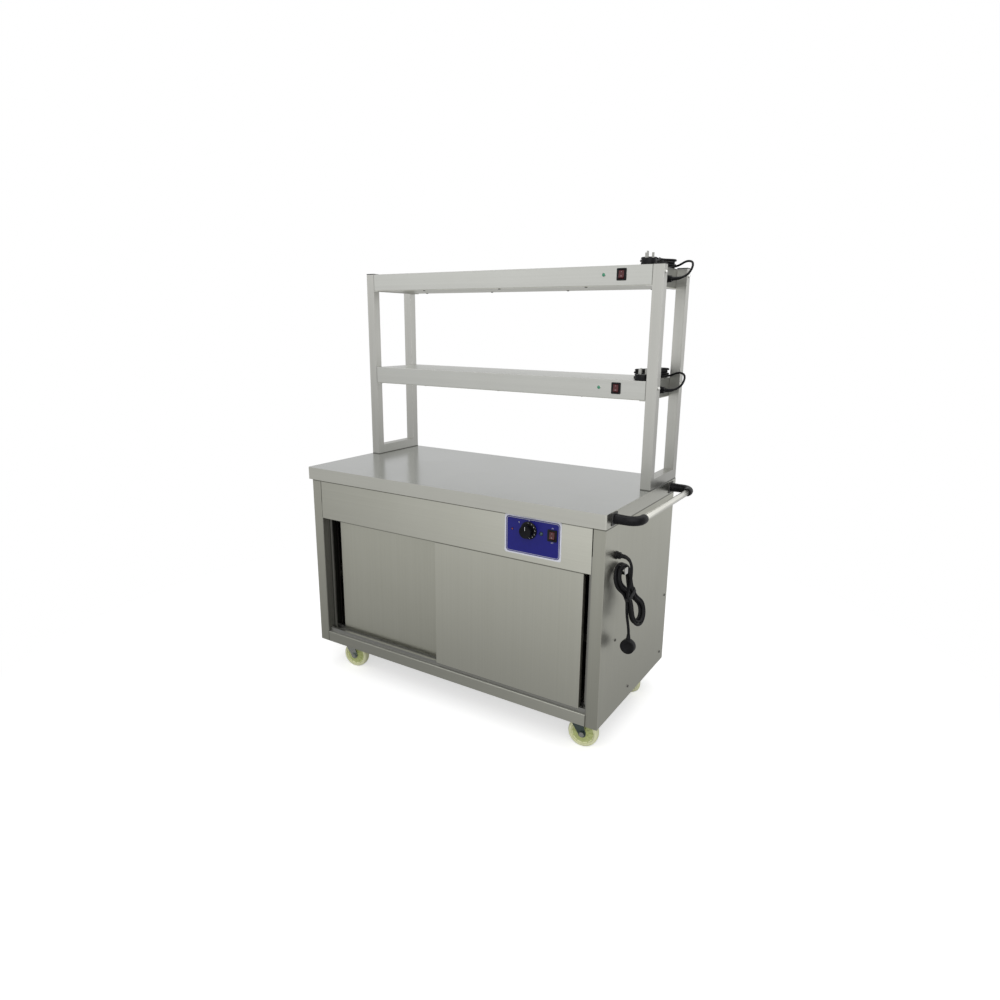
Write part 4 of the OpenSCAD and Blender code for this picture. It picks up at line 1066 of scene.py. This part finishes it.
def printed_plate():
    """Blue enamel print with a pale border and a thin white line, by the distance from the edge."""
    made, tree, shader = new_material("control print", Roughness=0.34, Specular_IOR_Level=0.3)
    place = own_place(tree)
    folded = vector_math(tree, "ABSOLUTE", vector_math(tree, "SUBTRACT", place, PLATE_MIDDLE))
    corner = vector_math(tree, "SUBTRACT", folded,
                         (PLATE_HALF_WIDE - PLATE_CORNER, 1, PLATE_HALF_TALL - PLATE_CORNER))
    parts = tree.nodes.new("ShaderNodeSeparateXYZ")
    tree.links.new(corner, parts.inputs[0])
    larger = value_math(tree, "MAXIMUM", parts.outputs["X"], parts.outputs["Z"])
    round_corner = vector_math(tree, "LENGTH", vector_math(tree, "MAXIMUM", corner))
    distance = value_math(tree, "ADD", round_corner, value_math(tree, "MINIMUM", larger, 0))
    bands = grey_ramp(tree, remap(tree, distance, 0, PLATE_CORNER),
                      (0, 0), (0.4, 0.5), (0.53, 0), (0.68, 1), steps="CONSTANT")
    blue = two_tone(tree, noise(tree, place, 60, 4, 0.6), (0.006, 0.007, 0.16), (0.01, 0.011, 0.2))
    feed(tree, shader, Base_Color=two_tone(tree, bands, blue, (0.7, 0.71, 0.78)))
    bump(tree, shader, noise(tree, place, 1500), 0.00003)
    return made


pressed("control_plate", 0, 0.35, printed_plate(), "control_plate_printed")
bezel_black = moulded("bezel black", (0.006, 0.006, 0.007), (0.015, 0.015, 0.016), (0.3, 0.42),
                      Specular_IOR_Level=0.15)
pressed("rocker_bezels", 0, 0.7, bezel_black, "switch_bezels")
surfaced(moulded("thermostat body", (0.55, 0.55, 0.52), (0.64, 0.64, 0.61), (0.4, 0.55)), "thermostat")

rocker_red, rocker_tree, rocker_shader = new_material("lit red rocker", Roughness=0.2, Coat_Weight=0.15,
                                                      Emission_Strength=0.03)
rocker_cloud = noise(rocker_tree, own_place(rocker_tree), 130, 3)
feed(rocker_tree, rocker_shader,
     Base_Color=two_tone(rocker_tree, rocker_cloud, (0.035, 0.001, 0.003), (0.07, 0.003, 0.005)),
     Emission_Color=two_tone(rocker_tree, rocker_cloud, (0.25, 0.0, 0.01), (0.6, 0.02, 0.03)))
mark_white = moulded("mark white", (0.72, 0.72, 0.72), (0.8, 0.8, 0.8), (0.4, 0.5))
mark_dim = moulded("rocker mark", (0.3, 0.24, 0.25), (0.42, 0.35, 0.36), (0.4, 0.5))
REST_TIP, HALF_SLOPE = 8, 7.9
rock = Matrix.Rotation(math.radians(-REST_TIP), 3, "X")
for name, pivot in (("main", at(422, 16.5, 705)),
                    ("upper", at(461, 352.5, 1473)),
                    ("lower", at(461, 352.5, 1123))):
    pressed(f"rocker_{name}", 0, 0.8, rocker_red, f"rocker_{name}_cap")
    stroke = round_edges(block((-0.0005, -0.00012, -0.0022), (0.0005, 0.00012, 0.0022)), 0.1)
    upper = Matrix.Rotation(math.radians(HALF_SLOPE), 3, "X")
    carried(stroke, rock @ upper, pivot + rock @ Vector((0, -0.0065, 0.0065)))
    bpy.ops.mesh.primitive_torus_add(major_radius=0.0018, minor_radius=0.0004, major_segments=32,
                                     minor_segments=8, rotation=(math.pi / 2, 0, 0))
    circle = settled(bpy.context.object)
    circle.data.transform(Matrix.Diagonal((1, 0.4, 1, 1)))
    lower = Matrix.Rotation(math.radians(-HALF_SLOPE), 3, "X")
    carried(circle, rock @ lower, pivot + rock @ Vector((0, -0.0065, -0.0065)))
    finish_piece(smooth(joined([stroke, circle])), f"rocker_{name}_marks", f"rocker_{name}",
                 "rocker_red", mark_dim)


# Lamps. Each is a small translucent lens with its barrel behind, held in a thin ring that is
# bright on the shelves and dark on the control plate.
lens_group = marks_group("lens cloud", Cloud=(300, 3, 0.5, 0, 1))


def lens_material(name, deep, glow, power):
    """Translucent coloured lens, a little brighter where the bulb sits."""
    made, tree, shader = new_material(name, Roughness=0.12, Coat_Weight=0.8, Emission_Strength=power)
    tinted = two_tone(tree, marks_on(tree, lens_group)["Cloud"], deep, glow)
    feed(tree, shader, Base_Color=tinted, Emission_Color=tinted)
    return made


def lens_piece(radius, face):
    """Domed lens and barrel round a line along Y."""
    profile = ((0.014, 0.0), (0.014, 0.62), (0.0006, 0.62), (0.0006, 0.86), (-0.0006, 0.86),
               (-0.0014, 0.8), (-0.0021, 0.62), (-0.0025, 0.36), (-0.0027, 0.0))
    return turned_along_y([(y, radius * share) for y, share in profile], 32, face)


def ring_piece(radius, face):
    """Thin ring round the lens."""
    profile = ((0.0, 0.0), (0.0, 1), (-0.0009, 1), (-0.0015, 0.95), (-0.0015, 0.87), (-0.0008, 0.84),
               (-0.0008, 0.0))
    return turned_along_y([(y, radius * share) for y, share in profile], 32, face)


panel_face = at(384, 14, 705)
green_faces = [at(401, 350, 1473), at(401, 350, 1123)]
red_face = at(282, 14, 705)
green_lens = lens_material("green lens", (0.005, 0.12, 0.06), (0.015, 0.26, 0.13), 0.15)
teal_lens = lens_material("dark green lens", (0.002, 0.03, 0.05), (0.004, 0.06, 0.085), 0.02)
red_lens = lens_material("red lens", (0.12, 0.01, 0.012), (0.26, 0.02, 0.025), 0.1)
finish_piece(joined([lens_piece(0.0064, face) for face in green_faces]), "green_lamp_lenses",
             "cupboard", "lamp_lens", green_lens, "indicator_lamps")
finish_piece(lens_piece(0.0064, panel_face), "panel_lamp_lens", "cupboard", "lamp_lens", teal_lens)
finish_piece(lens_piece(0.0035, red_face), "red_lamp_lens", "cupboard", "lamp_lens", red_lens)
finish_piece(joined([ring_piece(0.0065, face) for face in green_faces]), "lamp_rings",
             "cupboard", "bright_steel", bright_steel)
finish_piece(joined([ring_piece(0.0065, panel_face), ring_piece(0.0036, red_face)]), "panel_lamp_rings",
             "cupboard", "black_plastic", bezel_black)


# Knob. A black moulded knob: a skirt with its printed numbers, a fluted grip, a white pointer
# line, and the steel shaft behind it.
knob_face = at(341, 13.5, 709)
to_front = Matrix.Rotation(math.pi / 2, 3, "X")
knob_black = moulded("knob black", (0.003, 0.003, 0.004), (0.009, 0.009, 0.01), (0.3, 0.45),
                     Specular_IOR_Level=0.14)
skirt = turned_along_y([(0.0, 0.0), (0.0, 0.0278), (-0.0012, 0.028), (-0.0028, 0.0278),
                        (-0.0036, 0.0268), (-0.0062, 0.0205), (-0.0062, 0.0)], 96, knob_face)
grip = disc(0.02, 0.0208, (0, 0, 0), 72)
edit_chosen(grip, "FACE", lambda face: on_flute(face, 5, 3))
bpy.ops.mesh.inset(thickness=0.0002, depth=-0.001, use_individual=True)
leave_edit(grip)
edit_chosen(grip, "FACE", lambda face: face.normal.z > 0.9 and face.calc_area() > 0.0005)
bpy.ops.mesh.inset(thickness=0.0012, depth=0.0)
bpy.ops.mesh.inset(thickness=0.0025, depth=-0.0008)
leave_edit(grip)
carried(grip, to_front, knob_face + Vector((0, -0.0052, 0)))
finish_piece(smooth(joined([skirt, grip])), "thermostat_knob", "knob", "black_plastic", knob_black, "knob")
shaft = round_edges(disc(0.003, 0.02, (0, 0, 0), 32), 0.3)
carried(shaft, to_front, knob_face + Vector((0, 0.019, 0)))
finish_piece(smooth(shaft), "thermostat_shaft", "knob", "bright_steel", bright_steel)
pointer = round_edges(block((-0.0006, -0.0004, 0.0045), (0.0006, 0.0004, 0.0165)), 0.2)
carried(pointer, Matrix.Identity(3), knob_face + Vector((0, -0.026, 0)))


def lettering(words, size, name):
    """Flat raised letters that face -Y, centred on the origin."""
    bpy.ops.object.text_add()
    letters = bpy.context.object
    letters.data.body = words
    letters.data.size = size
    letters.data.extrude = 0.0001
    letters.data.align_x = "CENTER"
    letters.data.align_y = "CENTER"
    only(letters)
    bpy.ops.object.convert(target="MESH")
    letters = bpy.context.object
    letters.name = name
    letters.data.transform(Matrix.Rotation(math.pi / 2, 4, "X"))
    return letters


NUMBER_STEP = 28
skirt_marks = [pointer]
slope = math.atan2(0.0268 - 0.0205, 0.0062 - 0.0036)
laid_back = Matrix.Rotation(slope - math.pi / 2, 4, "X")
for k, number in enumerate(("0", "30", "40", "50", "60", "70", "80", "90", "100", "110")):
    digits = lettering(number, 0.0034, "dial_number")
    digits.data.transform(Matrix.Translation((0, -0.00505, 0.0236)) @ laid_back)
    skirt_marks.append(carried(digits, Matrix.Rotation(math.radians(NUMBER_STEP * k), 3, "Y"), knob_face))
finish_piece(joined(skirt_marks), "knob_marks", "knob", "black_plastic", mark_white)
plate_marks = []
index = block((-0.0006, -0.00015, 0), (0.0006, 0.00015, 0.004))
plate_marks.append(carried(index, Matrix.Identity(3), at(341, 13.95, 737.5)))
for words, x, z, size in (("ON", 422, 727.5, 0.0045), ("OFF", 422, 682, 0.0045), ("°C", 305, 729, 0.0055)):
    plate_marks.append(carried(lettering(words, size, "plate_word"), Matrix.Identity(3), at(x, 13.95, z)))
finish_piece(joined(plate_marks), "control_plate_marks", "cupboard", "control_plate", mark_white)


# Push handle. Two black moulded elbows on grey pads carry a bright steel tube along the right
# hand end of the worktop.
pad_grey = moulded("pad grey", (0.03, 0.03, 0.03), (0.06, 0.06, 0.058), (0.4, 0.55))
elbow_black = moulded("elbow black", (0.004, 0.004, 0.005), (0.012, 0.012, 0.014), (0.26, 0.4),
                      depth=0.0001, Specular_IOR_Level=0.13)
ELBOW_BEND = 33
pressed("handle_pads", 0, 0.8, pad_grey, "handle_seat_pads")
elbows = []
for first, sign in ((56, 1), (544, -1)):
    line = [(603 + 4 * k, 0) for k in range(10)]
    for angle in range(0, 91, 6):
        turn = math.radians(angle)
        line.append((640 + ELBOW_BEND * math.sin(turn), ELBOW_BEND - ELBOW_BEND * math.cos(turn)))
    line += [(640 + ELBOW_BEND, ELBOW_BEND + 4 * k) for k in range(1, 5)]
    places = [at(x, first + sign * y, 777.5) for x, y in line]
    radii = [15.6 - 1.1 * min(1, k / 6) if k > 1 else 15.0 + 0.6 * k for k in range(len(line))]
    radii[-2:] = [14.2, 13.4]
    elbows.append(swept(places, radii, "handle_elbow"))
finish_piece(joined(elbows), "handle_elbows_moulded",
             "cupboard", "black_plastic", elbow_black, "handle_elbows")
tube_steel = brushed("handle tube", (0.76, 0.755, 0.69), (0.86, 0.855, 0.79), (0.16, 0.28), "y")
tube = merged_copy("handle_tube")
round_edges(tube, 0.3, 2, lambda edge: sharp(edge, 50))
finish_piece(smooth(tube), "handle_bar", "cupboard", "bright_steel", tube_steel, "handle_tube")


# Castors. Zinc plated pressed plates and forks that swivel on a ball race, with cream nylon
# wheels whose webs are ribbed between hub and tread.
# The zinc plate is painted dark, as painted shade: the forks and plates stand in the shade under the
# cupboard.
zinc = bright("zinc plate", (0.07, 0.1, 0.093), (0.15, 0.185, 0.175), (0.24, 0.42))
nut_steel = bright("axle nut steel", (0.36, 0.37, 0.35), (0.52, 0.53, 0.5), (0.2, 0.34))
pressed("castor_plates", 0, 0.6, zinc, "castor_top_plates")


nylon_group = marks_group("moulded nylon", Cloud=(28, 4, 0.6, 0, 1), Grain=(700, 3, 0.5, 0, 1))


def nylon(name, dark, light):
    """Moulded nylon with cloudy patches and a fine grain."""
    made, tree, shader = new_material(name)
    marks = marks_on(tree, nylon_group)
    feed(tree, shader, Base_Color=two_tone(tree, marks["Cloud"], dark, light),
         Roughness=remap(tree, marks["Cloud"], 0.3, 0.7, 0.3, 0.5))
    bump(tree, shader, marks["Grain"], 0.0001)
    return made


nylon_cream = nylon("cream nylon", (0.72, 0.74, 0.42), (0.92, 0.93, 0.64))
# The web faces, set back between hub and tread, are painted darker and greener than the tread, as painted
# shade in the recess.
nylon_web = nylon("wheel web nylon", (0.42, 0.48, 0.17), (0.66, 0.7, 0.34))


def castor_wheel():
    """Moulded wheel round a line along Y through its own middle: hub, ribbed web and crowned tread."""
    half = [(0.0165, 0.0061), (0.0165, 0.0125), (0.0155, 0.0138), (0.0095, 0.0158), (0.0085, 0.019),
            (0.0085, 0.0345), (0.0098, 0.0372), (0.0142, 0.039), (0.015, 0.0405), (0.015, 0.0425),
            (0.0144, 0.0445), (0.0128, 0.0468), (0.01, 0.0487), (0.006, 0.0497), (0.0, 0.05)]
    profile = half + [(-y, radius) for y, radius in reversed(half[:-1])]
    wheel = turned_along_y(profile + [profile[0]], 96, (0, 0, 0))
    ribs = []
    for k in range(12):
        rib = round_edges(block((-0.0012, -0.0103, 0.0135), (0.0012, 0.0103, 0.0385)), 0.6)
        rib.data.transform(Matrix.Rotation(math.radians(30 * k), 4, "Y"))
        ribs.append(rib)
    return smooth(joined([wheel, *ribs]), 28)


AXLE_HEIGHT = 50
TRAIL, WEB_REACH, NUT_FACE, NUT_REACH = 0.03, 0.031, 0.0198, 0.0075
for corner, x, y, turned in (("fl", -495, 70, 10), ("fr", 495, 70, 8),
                             ("rl", -495, 500, 20), ("rr", 495, 500, -35)):
    fork = pressed(f"castor_fork_{corner}", 0, 0.6, zinc, f"castor_fork_{corner}_pressed")
    swing_round = Matrix.Rotation(math.radians(turned), 3, "Z")
    hub = at(x, y, AXLE_HEIGHT) + swing_round @ Vector((TRAIL, 0, 0))
    axle = swing_round @ Vector((0, 1, 0))
    wheel = carried(castor_wheel(), swing_round, hub)
    finish_piece(wheel, f"castor_wheel_{corner}_moulded", f"wheel_{corner}", "wheel_nylon", nylon_cream,
                 f"castor_wheel_{corner}")
    wheel.data.materials.append(nylon_web)
    for face in wheel.data.polygons:
        face.material_index = 1 if (face.center - hub).cross(axle).length < WEB_REACH else 0
    fork.data.materials.append(nut_steel)
    for face in fork.data.polygons:
        from_hub = face.center - hub
        on_nut = abs(from_hub.dot(axle)) > NUT_FACE and from_hub.cross(axle).length < NUT_REACH
        face.material_index = 1 if on_nut else 0
surfaced(bright_steel, "cord_hook")
